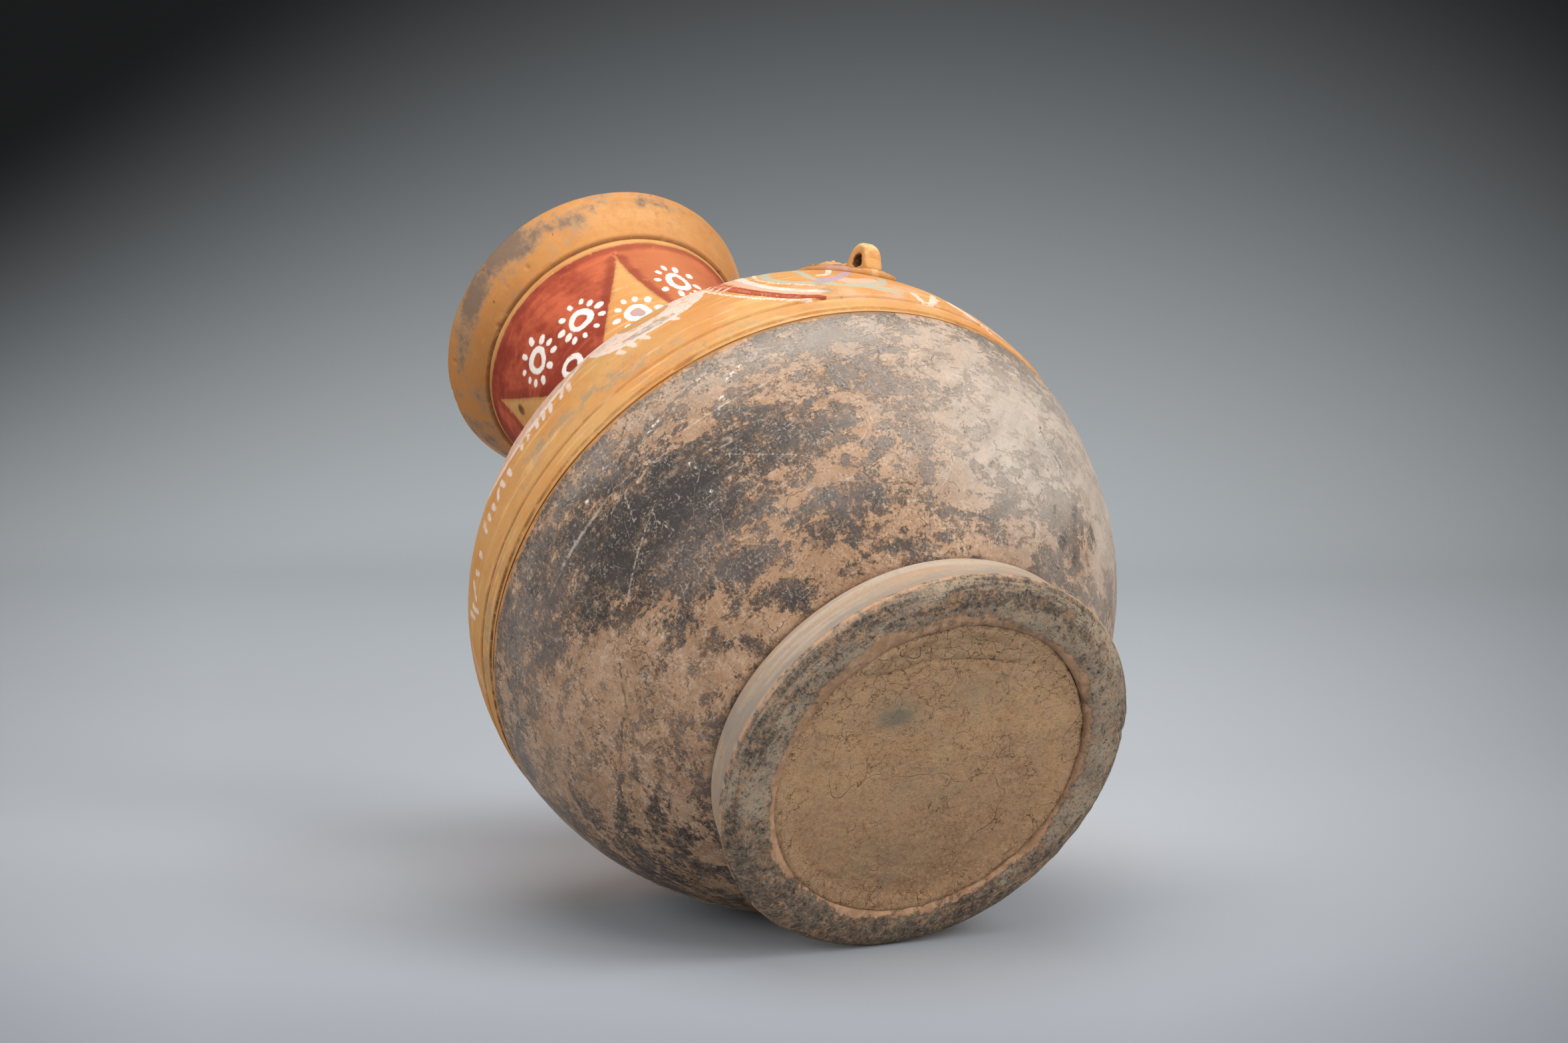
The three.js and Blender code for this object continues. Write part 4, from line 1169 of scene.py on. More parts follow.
# Brush lines of the scroll round the lug: paint, half widths at both ends, and turn and height along the line
SCROLL_LINES = (
    ("blush", 3.4, 1.3, (
        (58, 216), (44, 213), (33, 206), (27.6, 196), (26.2, 184), (26.2, 172), (27.3, 163.5),
        (29.5, 156.3), (32.3, 151.5), (36, 147.6),
    )),
    ("red", 4.4, 1.5, (
        (58, 221), (43, 218), (30, 209), (24.4, 197), (23.2, 184), (23.4, 174), (24.4, 167), (25.9, 160),
        (28.6, 152.6), (31.8, 147.4), (36, 143.8),
    )),
    ("white", 0.9, 0.8, (
        (58, 226), (42, 222), (27, 212), (21.4, 198), (20.6, 184), (20.9, 174), (21.7, 168),
        (23.2, 160.5), (25.5, 154), (28, 149.3), (30.7, 145.4), (33.6, 142.6),
    )),
    ("white", 2.4, 1.1, (
        (54, 210), (42, 208), (32.5, 200), (28.4, 190), (27.4, 176.5), (27.9, 167.4), (29.3, 160),
        (31.7, 154.6), (34.4, 150.8), (37.6, 148.2),
    )),
    ("white", 0.8, 0.6, (
        (42, 204), (33.6, 196), (30.8, 186), (29.3, 174.3), (30, 167.5), (31.6, 162), (33.9, 158.2),
        (36.4, 154.8),
    )),
    ("sage", 2.2, 1.6, (
        (44, 200), (36, 193), (32.4, 183), (30.9, 173.6), (31.4, 167), (32.9, 162.4), (35, 159.4),
        (40, 155.4), (46, 152), (52, 149.6),
    )),
    ("sage", 2.0, 1.6, ((40, 194), (38.4, 184), (37.6, 174), (37.6, 164), (39.6, 158.4))),
    ("white", 1.3, 1.0, ((46, 186), (43.6, 176), (41.4, 168), (39.4, 167))),
    ("lilac", 1.6, 2.8, ((48, 178), (45.4, 170), (43, 164), (40.6, 160.6), (38.8, 160))),
    ("blush", 3.4, 2.6, ((43, 159.6), (46, 159), (49, 162))),
    ("sage", 2.0, 1.6, ((52, 166), (50.4, 159), (46.6, 154.6), (42, 154))),
    ("white", 0.9, 0.4, ((22, 171), (24.6, 174))),
    ("white", 0.9, 0.4, ((21.4, 175), (23.8, 178.4))),
    ("white", 0.9, 0.4, ((21.2, 180), (23.2, 184))),
    ("white", 0.9, 0.4, ((21.6, 186), (23, 190))),
    ("blush", 1.6, 1.2, ((-66, 144), (-63, 151), (-60, 158))),
    ("white", 1.3, 1.6, ((61, 157.5), (59, 150), (57.4, 144.4), (56, 142.6), (55.4, 146), (55.2, 151.6))),
    ("white", 1.2, 0.6, ((58.4, 146.6), (60, 151), (61, 153))),
    ("white", 2.2, 1.6, ((65, 157), (67.4, 149), (70.4, 141.6))),
)
# Thin grey streaks across the pale scrolls: turn and height of each end
STREAKS = (
    (-19, 180, -19.4, 192), (-16.6, 181, -16.8, 192), (-13.6, 181, -13.6, 193), (-10.8, 182, -10.4, 193),
    (-7.6, 184, -7, 193), (-24, 182, -25, 190), (-28, 183, -29.6, 190),
)
# White dabs under the scrolls: turn and height of each end
DABS = (
    (-22.6, 175, -22.6, 168), (-20.4, 177, -20.6, 169), (-18, 176, -18, 168.6), (-16, 176.6, -16.2, 169),
    (-14, 176.8, -14.4, 168.2), (-11, 176, -11.6, 170), (-9.4, 176.6, -9.6, 169),
    (-38.2, 169, -38, 160.4), (-36, 167, -35.8, 162), (-34, 167, -33.6, 161.6), (-31.4, 168.4, -32, 163),
    (-30, 169.8, -29.4, 163.6), (-27.4, 169, -27, 163), (-54, 160, -53.2, 152.4),
    (-51.8, 157, -51, 148.8), (-48, 160, -49.6, 153), (-45.6, 159.4, -45, 155), (-42.2, 161, -42, 156.6),
    (1, 166, 1.8, 161.4), (3.4, 166, 4, 160.4), (5.6, 165.6, 6.6, 160), (12, 165, 12.6, 162.4),
    (100, 177, 100, 169), (97, 176, 97, 168.6), (94, 176, 93.6, 168), (91, 175.6, 90.6, 168),
    (88, 175.6, 88, 168), (85, 176, 85, 169),
)
# Rubbed patches of the shoulder, laid out as the belly's are
RUBBED_PATCHES = (
    (-19, 156.5, 6.5, 3.5, 0.8), (-24, 150, 4, 3, 0.6), (4, 147.6, 7, 2.6, 0.8), (-5, 153, 9, 6, 0.7),
    (38, 152, 1.6, 7, 0.95), (-48, 139, 14, 3, 0.5), (20, 138, 30, 3, 0.4), (12.6, 137, 0.8, 3, 0.9),
    (-60, 138, 10, 4, 0.4), (120, 160, 20, 10, 0.5), (-120, 150, 30, 6, 0.5), (170, 170, 24, 9, 0.5),
)


class HU_OT_upper_body(Operator):
    """Builds the painted shoulder, from the seam to the root of the neck."""

    bl_idname = "hu.upper_body"
    bl_label = "Upper body"

    def execute(self, context):
        form = Form(context.scene.hu_sizes)
        band_top = form.groove + 4.5
        shoulder = form.belly(band_top, form.neck_root - 0.2, 88)
        heights = joined(np.linspace(form.seam + 0.4, band_top, 40), shoulder[1:, 1])
        outer = np.stack([form.belly_radius_at(heights), heights], axis=-1)
        bore = form.neck_root_radius - 7.5
        opening = np.sqrt(1 - (bore / (form.belly_radius - form.wall)) ** 2)
        inner_top = form.girth + (form.upper_axis - form.wall) * opening
        inner = form.belly(inner_top, form.seam + 0.2, 14, form.wall)
        lip = [(outer[0, 0] - 1.1, form.seam + 0.1)]
        rim = [(form.neck_root_radius - 3, form.neck_root), (bore, form.neck_root - 0.4)]
        outline = joined(outer, rim, inner, lip)
        points, outward, azimuth = carry_round(outline, 704)
        height = outline[:, 1:]
        outside = first_rows(outline, len(outer)) | ~first_rows(outline, len(outline) - 1)
        front = from_front(azimuth)
        folded = wrapped(front - 18, 180) + 18
        scale = np.radians(1) * FLAT_RADIUS
        across, way = folded * scale, form.climb(height)

        def unrolled(marks):
            """Ends of straight marks on the shoulder, laid out flat."""
            return [(a * scale, form.climb(b), c * scale, form.climb(d)) for a, b, c, d in marks]

        paint = {name: np.full(front.shape, OUTSIDE) for name in BRUSH_PAINTS}
        for turn, rise, power, bands in OVAL_SCROLLS:
            x, y = wrapped(folded - turn, 180) * scale, way - rise
            for name, outer_edge, inner_edge in bands:
                paint[name] = np.maximum(paint[name], band(x, y, outer_edge, inner_edge, power))
        for name, first, last, line in SCROLL_LINES:
            path = [(turn * scale, form.climb(level)) for turn, level in line]
            paint[name] = np.maximum(paint[name], brush(across, way, path, first, last))
        paint["white"] = np.maximum(paint["white"], strokes(across, way, unrolled(DABS), 1.25))
        low_worn = smooth_step(height, 176, 170) * smooth_step(folded, -1, 3) * smooth_step(folded, 15, 11)
        groove = bell(height - form.groove - 1.6 - 0.3 * lumps(points, 50, 83), 0.55)
        ridge = bell(height - form.groove - 2.8, 0.8)
        hollow = bell(height - form.groove + 2.6, 2.6)
        step = smooth_step(height, form.seam + 3.6, form.seam + 2.8)
        chips = -1.0 * smooth_step(lumps(points, 7, 89), 0.62, 0.9) * bell(height - form.seam - 2.6, 1.2)
        worn = hand_wobble(form, points) + 0.1 * rough(points, 12, 97, 3) + chips
        worn += 0.35 * ridge - 0.9 * groove - 0.45 * hollow - 0.7 * step
        for name, thickness in (("white", 0.14), ("red", 0.08), ("blush", 0.06)):
            worn += thickness * smooth_step(paint[name], -0.6, 0.6)
        relief = np.where(outside, worn, 0)[..., None]
        # Dirt in the groove and along the seam line, with painted shade: stronger on the left, the side away
        # from the light
        left = 0.35 + 0.65 * smooth_step(front, 0, -60) * smooth_step(front, -170, -130)
        edge_line = bell(height - form.seam - 3.0, 0.7)
        top_film = smooth_step(way, 24, 50) * (0.3 + 0.7 * bell(wrapped(front + 20), 60))
        low_film = smooth_step(height, 136, 146) * smooth_step(height, 166, 152)
        fields = {
            **paint,
            "worn": np.where(low_worn > 0.5, paint["worn"], OUTSIDE),
            "red_edge": smooth_step(paint["red"], 2.6, 0.6) * smooth_step(height, 190, 160),
            "streak": strokes(across, way, unrolled(STREAKS), 0.7),
            "film": 0.7 * top_film + 0.75 * bell(wrapped(front - 62), 34) * low_film,
            "rubbed": clouds(front, height, RUBBED_PATCHES),
            "stain_and_shade": np.clip(left * (0.8 * groove + 1.1 * edge_line), 0, 1) * outside,
            "inside": 1.0 - outside,
        }
        finish = shoulder_finish(context.scene.hu_paints)
        place_piece("upper_body", points + outward * relief, fields, finish)
        return {"FINISHED"}


# Lappets of the neck: turn of the middle, length and the power that shapes the point
LAPPETS = ((-17, 75, 1.2), (73, 93, 1.8), (163, 92, 1.7), (253, 95, 1.8))
LAPPET_HALF = 45.0
LAPPET_TOP = 343.5
RED_TOP = 349.6
# Thickness of the neck's wall
NECK_WALL = 7.0
# Rosettes on the lappets and on the ochre between them: turn, height and number of dabs
LAPPET_ROSETTES = (
    (-30, 320, 10), (-2, 315, 11), (-18.5, 297, 0), (50, 320, 10), (88, 316, 11), (71, 298, 0),
    (150, 320, 10), (178, 315, 11), (161.5, 297, 0), (240, 320, 10), (268, 315, 11), (251.5, 297, 0),
)
OCHRE_ROSETTES = ((22, 300, 10), (112, 300, 11), (202, 300, 10), (292, 300, 11))


def rosette(x, y, seed, dabs):
    """Distance inside a rosette: a ring that swells and thins by hand, with a circle of dabs round it.

    The ring lies between two radii that sway with the angle, and each dab is an oval turned to the middle.
    """
    radius = np.hypot(x, y)
    angle = np.arctan2(y, x)
    sway = 0.35 * np.sin(2 * angle + seed) + 0.25 * np.sin(3 * angle + 2.3 * seed)
    inside = 1.55 + 0.2 * np.sin(angle + seed) - np.abs(radius - 4.9 - sway)
    for number in range(dabs):
        turn = 2 * np.pi * number / dabs + 0.12 * np.sin(5.1 * number + seed)
        out = 10.6 + 0.6 * np.sin(3.7 * number + seed)
        along = x * np.cos(turn) + y * np.sin(turn) - out
        beside = y * np.cos(turn) - x * np.sin(turn)
        size = 1 + 0.18 * np.sin(7.3 * number + 1.7 * seed)
        inside = np.maximum(inside, oval(along, beside, 2.1 * size, 1.5 * size))
    return inside


class HU_OT_neck(Operator):
    """Builds the trumpet neck with its red lappets and white rosettes."""

    bl_idname = "hu.neck"
    bl_label = "Neck"

    def execute(self, context):
        form = Form(context.scene.hu_sizes)
        heights = np.linspace(form.neck_root - 0.1, form.neck_top - 0.2, 122)
        outer = np.stack([form.neck_radius_at(heights), heights], axis=-1)
        inner = outer[::-6] - (NECK_WALL, 0)
        outline = joined(outer, [(form.neck_top_radius - 3.5, form.neck_top - 0.1)], inner)
        points, outward, azimuth = carry_round(outline, 600)
        radius, height = outline[:, :1], outline[:, 1:]
        outside = first_rows(outline, len(outer))
        front = from_front(azimuth)

        def across(turn):
            """Way round the neck from a turn."""
            return np.radians(wrapped(front - turn)) * radius

        top = RED_TOP + 1.6 * bell(wrapped(front + 70), 40) + 0.5 * lumps(points, 16, 101)
        drop = np.clip(LAPPET_TOP + 2.6 * bell(wrapped(front + 60), 42) - height, 1e-3, None)
        lappet = np.full(front.shape, OUTSIDE)
        for turn, tall, power in LAPPETS:
            part = np.clip(drop / tall, 0, 2)
            half = LAPPET_HALF * (1 - part**power)
            lean = np.radians(LAPPET_HALF * power / tall * part ** (power - 1)) * radius
            inside = np.radians(half - np.abs(wrapped(front - turn))) * radius / np.sqrt(1 + lean**2)
            inside = np.minimum(inside + 3 * smooth_step(height, 342, 345), top - height)
            lappet = np.maximum(lappet, inside)
        white = np.full(front.shape, OUTSIDE)
        lilac = np.full(front.shape, OUTSIDE)
        for number, (turn, level, dabs) in enumerate(LAPPET_ROSETTES + OCHRE_ROSETTES):
            white = np.maximum(white, rosette(across(turn), height - level, 1.3 * number, dabs))
        for turn, level, _ in OCHRE_ROSETTES:
            lilac = np.maximum(lilac, 3.0 - np.hypot(across(turn), height - level))
        worn = hand_wobble(form, points) + 0.07 * rough(points, 10, 103, 3)
        worn += 0.16 * smooth_step(white, -0.5, 0.6) + 0.06 * smooth_step(lappet, -0.6, 0.6)
        relief = np.where(outside, worn, 0)[..., None]
        spot = oval(across(-57), height - 323, 2.4, 3.2)
        # A brown spot, and a dark line under the collar that is painted shade of its step
        brown = 0.9 * smooth_step(spot, -0.8, 0.8) + 0.35 * smooth_step(height, 352.6, 353.4)
        at_root = smooth_step(height, form.neck_root + 2.5, form.neck_root)
        fields = {
            "lappet": lappet,
            "outline": np.minimum(lappet + 0.4, 4.2 - lappet),
            "white": white,
            "lilac": lilac,
            # painted highlight on the lit side of the neck
            "painted_highlight": 0.85 * bell(wrapped(front - 52), 30),
            "stain_and_shade": np.clip(brown, 0, 1) + 0.5 * at_root,
            "inside": 1.0 - outside,
        }
        finish = neck_finish(context.scene.hu_paints)
        place_piece("neck", points + outward * relief, fields, finish)
        return {"FINISHED"}


# Rounding of the collar's edges, and rubbed and pale patches on it, laid out as the belly's are
COLLAR_ROUND = 2.4
RUBBED_COLLAR = (
    (-5, 373, 15, 10, 1.15), (-30, 371, 9, 6, 0.85), (-47, 368, 8, 7, 0.7), (-72, 370, 18, 12, 0.25),
    (24, 370, 9, 5, 0.5), (50, 371, 9, 4, 0.4), (-100, 366, 24, 12, 0.5), (160, 368, 40, 8, 0.5),
)
PALE_COLLAR = ((44, 368, 36, 16, 0.3),)


class HU_OT_mouth_collar(Operator):
    """Builds the flared collar of the mouth with the step under it."""

    bl_idname = "hu.mouth_collar"
    bl_label = "Mouth collar"

    def execute(self, context):
        form = Form(context.scene.hu_sizes)
        foot = form.neck_top_radius + 2.7
        low, high = form.neck_top + COLLAR_ROUND, form.rim - COLLAR_ROUND
        ledge_radii = np.linspace(62.6, foot - COLLAR_ROUND, 4)[:-1]
        ledge = np.stack([ledge_radii, np.full(3, form.neck_top + 0.05)], axis=-1)
        step = quarter_round((foot - COLLAR_ROUND, low), COLLAR_ROUND, COLLAR_ROUND, -np.pi / 2, 9)
        climb = np.linspace(0, 1, 34)[1:-1]
        flare = np.stack([
            foot + (form.rim_radius - foot) * climb + 0.9 * np.sin(np.pi * climb),
            low + (high - low) * climb,
        ], axis=-1)
        flare[:, 0] = np.minimum(flare[:, 0], form.rim_radius)
        lip = joined(
            quarter_round((form.rim_radius - COLLAR_ROUND, high), COLLAR_ROUND, COLLAR_ROUND, 0, 9),
            quarter_round((form.rim_radius - 4.2, high), 2.2, COLLAR_ROUND, np.pi / 2, 9)[1:],
        )
        dish = [(form.rim_radius - 6.4, form.rim - 3), (68.6, 366.9), (65, 363.6), (58.6, 361.9)]
        back = [(57.8, 361), (57.8, 358), (62, 358), (62, form.neck_top + 0.3)]
        outline = joined(ledge, step, flare, lip, resample(dish, 1.2), back)
        points, outward, azimuth = carry_round(outline, 560)
        height = outline[:, 1:]
        outside = first_rows(outline, len(outline) - len(back))
        rim_end = len(ledge) + len(step) + len(flare) + len(lip)
        shown = first_rows(outline, rim_end)
        front = from_front(azimuth)
        worn = hand_wobble(form, points) + 0.12 * rough(points, 10, 107, 3)
        worn -= 0.8 * smooth_step(lumps(points, 6, 109), 0.74, 0.95)
        relief = np.where(outside, worn, 0)[..., None]
        # At the step the collar is darkened with painted shade under its edge
        at_step = smooth_step(height, form.neck_top + 0.9, form.neck_top)
        at_rim = smooth_step(form.rim - height, 0.8, 0)
        dull = bell(wrapped(front + 40), 34) * smooth_step(height, 372, 354)
        fields = {
            "rubbed": clouds(front, height, RUBBED_COLLAR) * shown,
            "film": clouds(front, height, PALE_COLLAR) * shown,
            "stain_and_shade": (0.5 * at_step + 0.3 * dull) * shown + 0.4 * at_rim,
            "inside": smooth_step(np.arange(len(outline))[:, None], rim_end + 2, rim_end + 10),
        }
        finish = collar_finish(context.scene.hu_paints)
        place_piece("mouth_collar", points + outward * relief, fields, finish)
        return {"FINISHED"}


def over_shoulder(form, across, up, off, turn):
    """Point over the shoulder from its place across and up the surface and its height off it, in millimetres.

    The way up is taken as an angle of the upper ellipse, and the way across as a turn about the axis.
    """
    start = np.arcsin(form.lug_rise / form.upper_axis)
    pace = np.hypot(form.belly_radius * np.sin(start), form.upper_axis * np.cos(start))
    angle = start + up / pace
    height = form.girth + form.upper_axis * np.sin(angle)
    surface = form.belly_radius * np.cos(angle)
    normal = form.belly_normal_at(height)
    radius = surface + off * normal[..., 0]
    azimuth = turn + across / surface
    lifted = height + off * normal[..., 1]
    return np.stack([radius * np.cos(azimuth), radius * np.sin(azimuth), lifted], axis=-1)


def squared(wave, power):
    """Sine or cosine with its flanks squared off: its sign times its size to a power."""
    return np.sign(wave) * np.abs(wave) ** power


# Half width, half height and squareness of a mask, and how far its middle lies above its loop's
MASK_WIDE = 22.0
MASK_TALL = 23.0
MASK_SQUARE = 2 / 2.7
MASK_RISE = 13.0


def mask_relief(across, up):
    """Height of the mask's features: each is a bell over its line or point, and the highest one holds.

    Brows curl up into horns, the eyes have lids and a drilled middle, the snout is ridged, the cheeks curl.
    """
    side = np.abs(across)
    to_eye = np.hypot(side - 8.2, up - 3)
    eye = 2.5 * bell(to_eye, 3.6) - 1.3 * bell(to_eye, 1.1)
    lid = 1.5 * bell(to_eye - 5.2, 0.9) * smooth_step(up, 1, 5)
    brow = 2.3 * np.clip(1 - (side / 17) ** 4, 0, None) * bell(up - 12 - 0.02 * side**2, 3.2)
    brow = brow * (1 - 0.22 * np.cos(2.2 * side) ** 2)
    nose = 2.4 * bell(side, 3.2) / (1 + np.exp(up - 7)) - 0.6 * bell(side, 0.7) * bell(up - 14, 4)
    to_cheek = np.hypot(side - 11.5, up + 7.5)
    cheek = 1.8 * bell(to_cheek, 4.4) * (0.75 + 0.25 * np.cos(2.1 * to_cheek))
    horn = 1.6 * bell(np.hypot(side - 14.5, up - 15.5) - 2.6, 1.0)
    return np.maximum.reduce([eye, lid, brow, nose, cheek, horn])


class HU_OT_mask_plaques(Operator):
    """Builds the two moulded mask plaques that are pressed on the shoulder."""

    bl_idname = "hu.mask_plaques"
    bl_label = "Mask plaques"

    def execute(self, context):
        form = Form(context.scene.hu_sizes)
        finish = lug_finish(context.scene.hu_paints, "moulded_mask")
        turn = np.linspace(0, 2 * np.pi, 240, endpoint=False)[None]
        reach = joined(np.linspace(0, 1, 8), np.linspace(1, 0, 92)[1:])[:, None]
        front = ~first_rows(reach, 8)
        up = squared(np.sin(turn), MASK_SQUARE)
        wide = squared(np.cos(turn), MASK_SQUARE) * (1 + 0.24 * np.minimum(up, 0))
        across, rise = MASK_WIDE * wide * reach, MASK_TALL * up * reach
        features = mask_relief(across, rise)
        crown = np.sqrt(np.clip(1 - reach**4, 0, 1))
        sunk = smooth_step(1.0 - features, 0.5, 1.0) * front * smooth_step(reach, 0.99, 0.9)
        fields = {
            "hollow": 0.8 * sunk + 0.25 * smooth_step(reach, 0.93, 1),
            "raised": smooth_step(features, 1.4, 2.2),
            "tint": 0.4 * smooth_step(rise, 4, -16) * smooth_step(np.abs(across), 6, 14),
        }
        for side, start in LUG_TURNS.items():
            flat = over_shoulder(form, across, rise + MASK_RISE, 0 * across, start)
            worn = 0.35 * rough(flat, 6, 127, 3) + 0.5 * reach**3 * rough(flat, 4, 129, 3)
            seat = 2.4 * bell(np.hypot(across / 9, (rise + MASK_RISE) / 8), 1)
            face = np.where(front, 1.3 + crown * (2.6 + features + worn - seat), -0.3)
            points = over_shoulder(form, across, rise + MASK_RISE, face, start)
            place_piece(f"mask_{side}", points, fields, finish, poles=True)
        return {"FINISHED"}


# Radius of a loop's hole, how far its middle stands off the shoulder, and squareness of its section
LOOP_HOLE = 2.7
LOOP_OFF = 5.6
LOOP_SQUARE = 0.6


class HU_OT_loops(Operator):
    """Builds the two pierced loops that stand on the masks."""

    bl_idname = "hu.loops"
    bl_label = "Pierced loops"

    def execute(self, context):
        form = Form(context.scene.hu_sizes)
        finish = lug_finish(context.scene.hu_paints, "hand_smoothed_loop")
        round_hole = np.linspace(0, 2 * np.pi, 128, endpoint=False)[None]
        section = np.linspace(0, 2 * np.pi, 48, endpoint=False)[:, None]
        along, off = np.cos(round_hole), np.sin(round_hole)
        hole = 1 / np.hypot(along / LOOP_HOLE, off / LOOP_HOLE)
        crown = 1 / np.hypot(along / 6.9, off / 8.0)
        foot = 1 / (np.abs(along / 10.4) ** 4 + np.abs(off / 4.2) ** 4) ** 0.25
        edge = crown + (foot - crown) * smooth_step(off, 0.3, -0.6)
        middle, thick = (hole + edge) / 2, (edge - hole) / 2
        inward = squared(np.cos(section), LOOP_SQUARE)
        distance = middle - thick * inward
        half_width = 4.1 - 0.6 * smooth_step(off, 0.2, 1)
        side_way = half_width * squared(np.sin(section), LOOP_SQUARE)
        outer = smooth_step(-np.cos(section), 0, 0.6)
        fields = {
            # The inside of the hole and the loop's underside are darkened: painted shade
            "hollow": 1.6 * smooth_step(inward, 0.55, 0.9) + 0.6 * smooth_step(distance * off, -2.4, -4),
            "raised": smooth_step(off, 0.3, 0.9) * outer,
            "tint": 0.4 * smooth_step(off, 0, -0.6) * outer,
        }
        for side, start in LUG_TURNS.items():
            ring = over_shoulder(form, side_way, distance * along, LOOP_OFF + distance * off, start)
            pinched = distance + 0.35 * rough(ring, 7, 131, 3) * np.clip(-inward, 0, 1)
            points = over_shoulder(form, side_way, pinched * along, LOOP_OFF + pinched * off, start)
            place_piece(f"loop_{side}", points, fields, finish)
        return {"FINISHED"}


def look_at(place, target, upward):
    """Matrix of a camera or light at a place that looks at a target, with its top turned upward."""
    back = (place - target).normalized()
    right = upward.cross(back).normalized()
    return Matrix.Translation(place) @ Matrix((right, back.cross(right), back)).transposed().to_4x4()


def soft_light(name, place, target, upward, size, power):
    """Round area light that looks at a target."""
    light = bpy.data.lights.new(name, "AREA")
    light.shape = "DISK"
    light.size = size
    light.energy = power
    lamp = bpy.data.objects.new(name, light)
    lamp.matrix_world = look_at(place, target, upward)
    bpy.context.scene.collection.objects.link(lamp)
    return lamp


def paper_finish(stage, ahead, up, across, middle):
    """Pale paper with painted light and shade: darker at the near edge and the sides, lighter towards the
    back, and fading to dark up the backdrop; it is clear from behind.
    """
    look = Finish("studio_paper")

    def way(direction):
        """Distance from the middle of the floor along a direction."""
        node = look.node("ShaderNodeVectorMath", operation="DOT_PRODUCT")
        look.feed(node.inputs[0], look.place)
        node.inputs[1].default_value = direction
        return look.add(node.outputs["Value"], -middle.dot(direction))

    deep = way(ahead)
    # Painted shade towards the sides and up the backdrop, where the light falls off
    aside = look.math("DIVIDE", way(across), look.larger(look.add(deep, 1.42), 0.6))
    lean = look.math("POWER", look.math("ABSOLUTE", look.add(aside, -0.05)), 2)
    bend = look.times(lean, look.math("MULTIPLY_ADD", lean, 55, 5.5))
    level = look.times(way(up), look.add(bend, 0.78))
    lit = look.larger(look.math("MULTIPLY_ADD", level, -1.41, 1.04), 0)
    wing = look.larger(look.add(look.math("ABSOLUTE", look.add(aside, 0.035)), -0.05), 0)
    lit_side = look.larger(look.math("MULTIPLY_ADD", look.times(wing, wing), -7.6, 1), 0.55)
    shade = look.mix(look.ramp(deep, -0.45, 0.25), stage.floor_near_shade, stage.floor_colour)
    shade = look.mix(look.ramp(deep, 0.3, 1.6), shade, stage.floor_far_light)
    shade = look.mix(look.times(look.math("POWER", lit, 2), lit_side), stage.backdrop_shade, shade)
    material = look.done(shade, 0.9, look.noise(0.8, 2), 0.02, 0.2)
    through = look.node("ShaderNodeBsdfTransparent")
    blend = look.node("ShaderNodeMixShader")
    look.feed(blend.inputs["Fac"], look.node("ShaderNodeNewGeometry").outputs["Backfacing"])
    look.feed(blend.inputs[1], look.shader.outputs["BSDF"])
    look.feed(blend.inputs[2], through.outputs["BSDF"])
    look.feed(look.tree.nodes["Material Output"].inputs["Surface"], blend.outputs["Shader"])
    return material


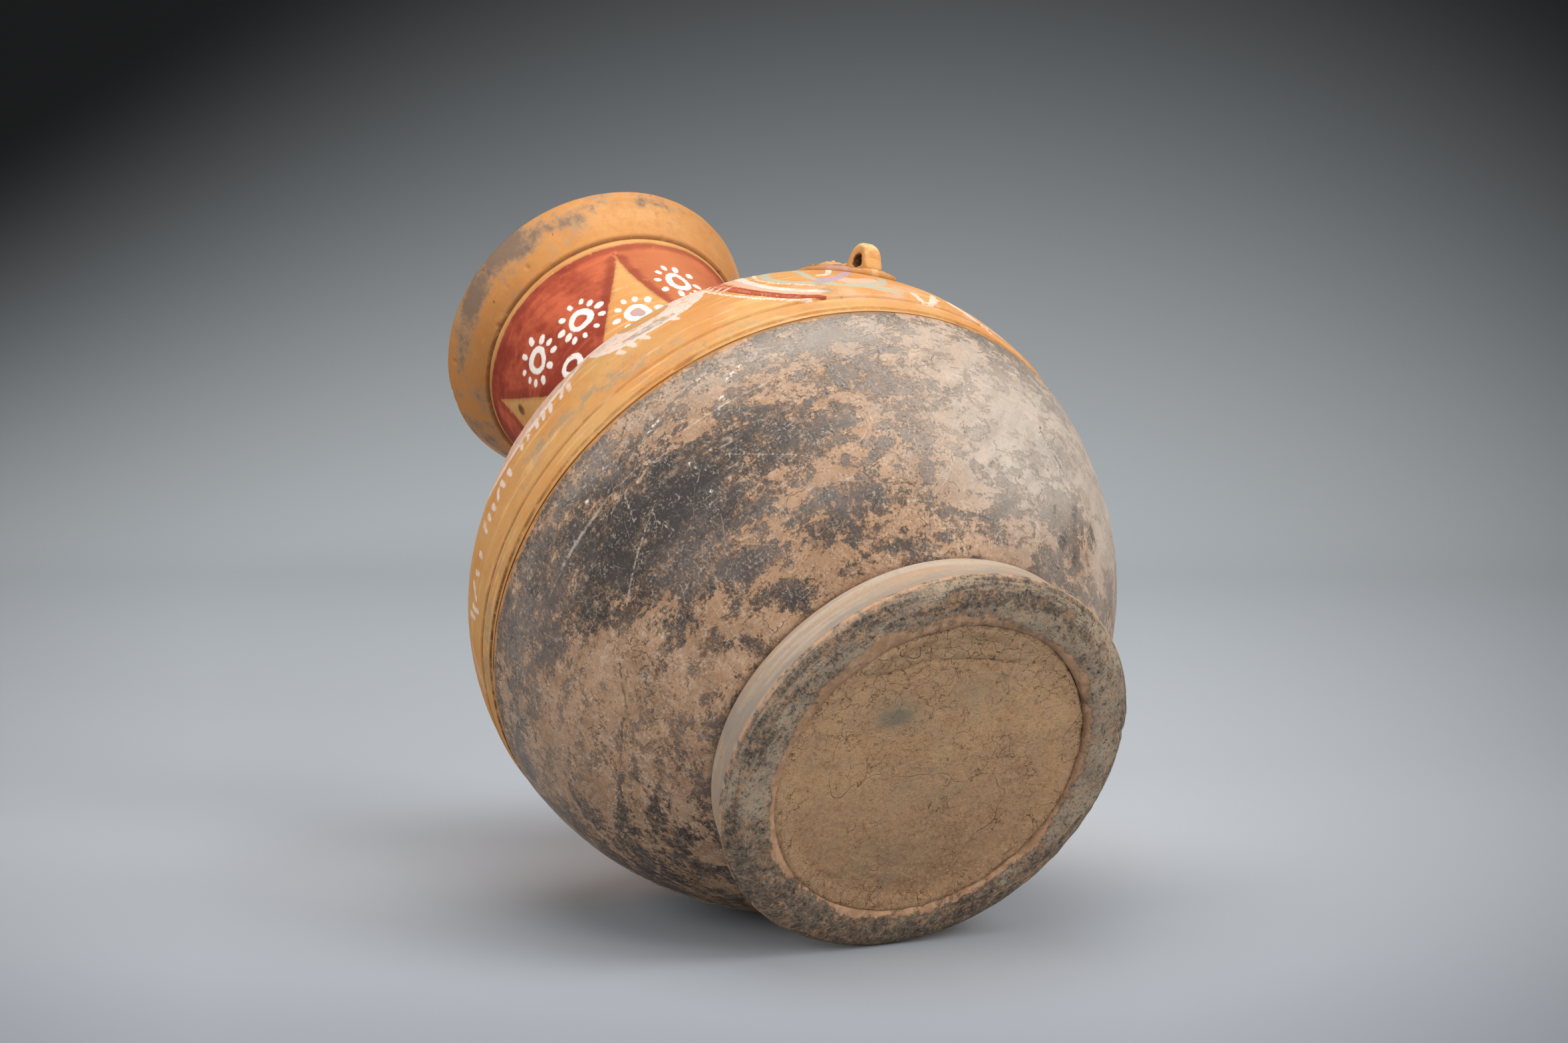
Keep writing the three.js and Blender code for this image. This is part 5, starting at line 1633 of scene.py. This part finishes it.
class HU_OT_stage(Operator):
    """Builds the floor that the vase lies on, the backdrop, the lights and the camera."""

    bl_idname = "hu.stage"
    bl_label = "Stage"

    def execute(self, context):
        scene = context.scene
        stage = scene.hu_stage
        up = Vector(stage.floor_normal).normalized()
        eye, aim = Vector(stage.eye), Vector(stage.aim)
        ahead = aim - eye
        ahead = (ahead - up * ahead.dot(up)).normalized()
        right = ahead.cross(up)
        middle = aim - up * (aim.dot(up) + stage.floor_drop)

        camera_data = bpy.data.cameras.new("photo_camera")
        camera_data.lens = stage.lens
        camera_data.sensor_width = 36
        camera_data.clip_start = 0.02
        camera = bpy.data.objects.new("photo_camera", camera_data)
        camera.matrix_world = look_at(eye, aim, up)
        scene.collection.objects.link(camera)
        scene.camera = camera

        bend = np.linspace(0.08, np.pi / 2, 20)
        run = joined(np.linspace(-2.2, 1.4, 25), 1.4 + 1.1 * np.sin(bend), np.full(10, 2.5))
        climb = joined(np.zeros(25), 1.1 - 1.1 * np.cos(bend), np.linspace(1.2, 2.6, 10))
        side = np.linspace(-2.6, 2.6, 27)
        grid = (np.array(middle) + side[None, :, None] * np.array(right)
                + run[:, None, None] * np.array(ahead) + climb[:, None, None] * np.array(up))
        index = np.arange(run.size * side.size).reshape(run.size, side.size)
        corners = [index[:-1, :-1], index[:-1, 1:], index[1:, 1:], index[1:, :-1]]
        quads = np.stack(corners, axis=-1).reshape(-1, 4)
        paper = bpy.data.meshes.new("studio_paper")
        paper.from_pydata(grid.reshape(-1, 3).tolist(), [], quads.tolist())
        paper.polygons.foreach_set("use_smooth", np.ones(len(quads), dtype=bool))
        paper.materials.append(paper_finish(stage, ahead, up, right, middle))
        floor = bpy.data.objects.new("studio_paper", paper)
        scene.collection.objects.link(floor)

        def spot(across, deep, high):
            """Place over the middle of the floor."""
            return middle + right * across + ahead * deep + up * high

        soft_light("top_light", spot(-0.08, -0.27, 1.9), aim, up, 1.7, stage.top_power)
        soft_light("key_light", spot(1.3, -0.7, 1.4), aim, up, 1.1, stage.key_power)
        soft_light("front_light", spot(1.0, -1.8, 0.9), aim, up, 1.1, stage.front_power)
        soft_light("fill_light", spot(-1.5, -1.3, 1.0), aim, up, 1.6, stage.fill_power)
        rear = soft_light("rear_light", aim + (aim - eye).normalized() * 1.3, aim, up, 1.0, stage.rear_power)
        vase = bpy.data.collections.new("vase_pieces")
        for piece in scene.objects:
            if piece.type == "MESH" and piece is not floor:
                vase.objects.link(piece)
        rear.light_linking.receiver_collection = vase
        rear.light_linking.blocker_collection = vase

        world = bpy.data.worlds.new("studio_air")
        world.use_nodes = True
        air = world.node_tree.nodes["Background"]
        air.inputs["Color"].default_value = (0.9, 0.95, 1.0, 1)
        air.inputs["Strength"].default_value = stage.ambient
        scene.world = world
        scene.view_settings.view_transform = "Standard"
        return {"FINISHED"}


PIECE_OPERATORS = (
    HU_OT_base_disc, HU_OT_foot_ring, HU_OT_lower_body, HU_OT_upper_body, HU_OT_neck, HU_OT_mouth_collar,
    HU_OT_mask_plaques, HU_OT_loops, HU_OT_stage,
)


class HU_PT_vase(Panel):
    """Lists the vase's sections, sizes and pigments in the sidebar."""

    bl_idname = "HU_PT_vase"
    bl_label = "Painted hu vase"
    bl_space_type = "VIEW_3D"
    bl_region_type = "UI"
    bl_category = "Vase"

    def draw(self, context):
        for operator in PIECE_OPERATORS:
            self.layout.operator(operator.bl_idname)
        for group in (context.scene.hu_sizes, context.scene.hu_paints, context.scene.hu_stage):
            box = self.layout.box()
            for name in group.__annotations__:
                box.prop(group, name)


SETTINGS = {"hu_sizes": HuSizes, "hu_paints": HuPaints, "hu_stage": HuStage}
CLASSES = (*SETTINGS.values(), *PIECE_OPERATORS, HU_PT_vase)


def register():
    """Registers the classes and puts their settings on the scene."""
    for entry in CLASSES:
        bpy.utils.register_class(entry)
    for name, group in SETTINGS.items():
        setattr(bpy.types.Scene, name, PointerProperty(type=group))


def unregister():
    """Takes the settings off the scene and removes the classes."""
    for name in SETTINGS:
        delattr(bpy.types.Scene, name)
    for entry in reversed(CLASSES):
        bpy.utils.unregister_class(entry)


def main():
    """Registers the add-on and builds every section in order."""
    register()
    bpy.ops.hu.base_disc()
    bpy.ops.hu.foot_ring()
    bpy.ops.hu.lower_body()
    bpy.ops.hu.upper_body()
    bpy.ops.hu.neck()
    bpy.ops.hu.mouth_collar()
    bpy.ops.hu.mask_plaques()
    bpy.ops.hu.loops()
    bpy.ops.hu.stage()


if __name__ == "__main__":
    main()
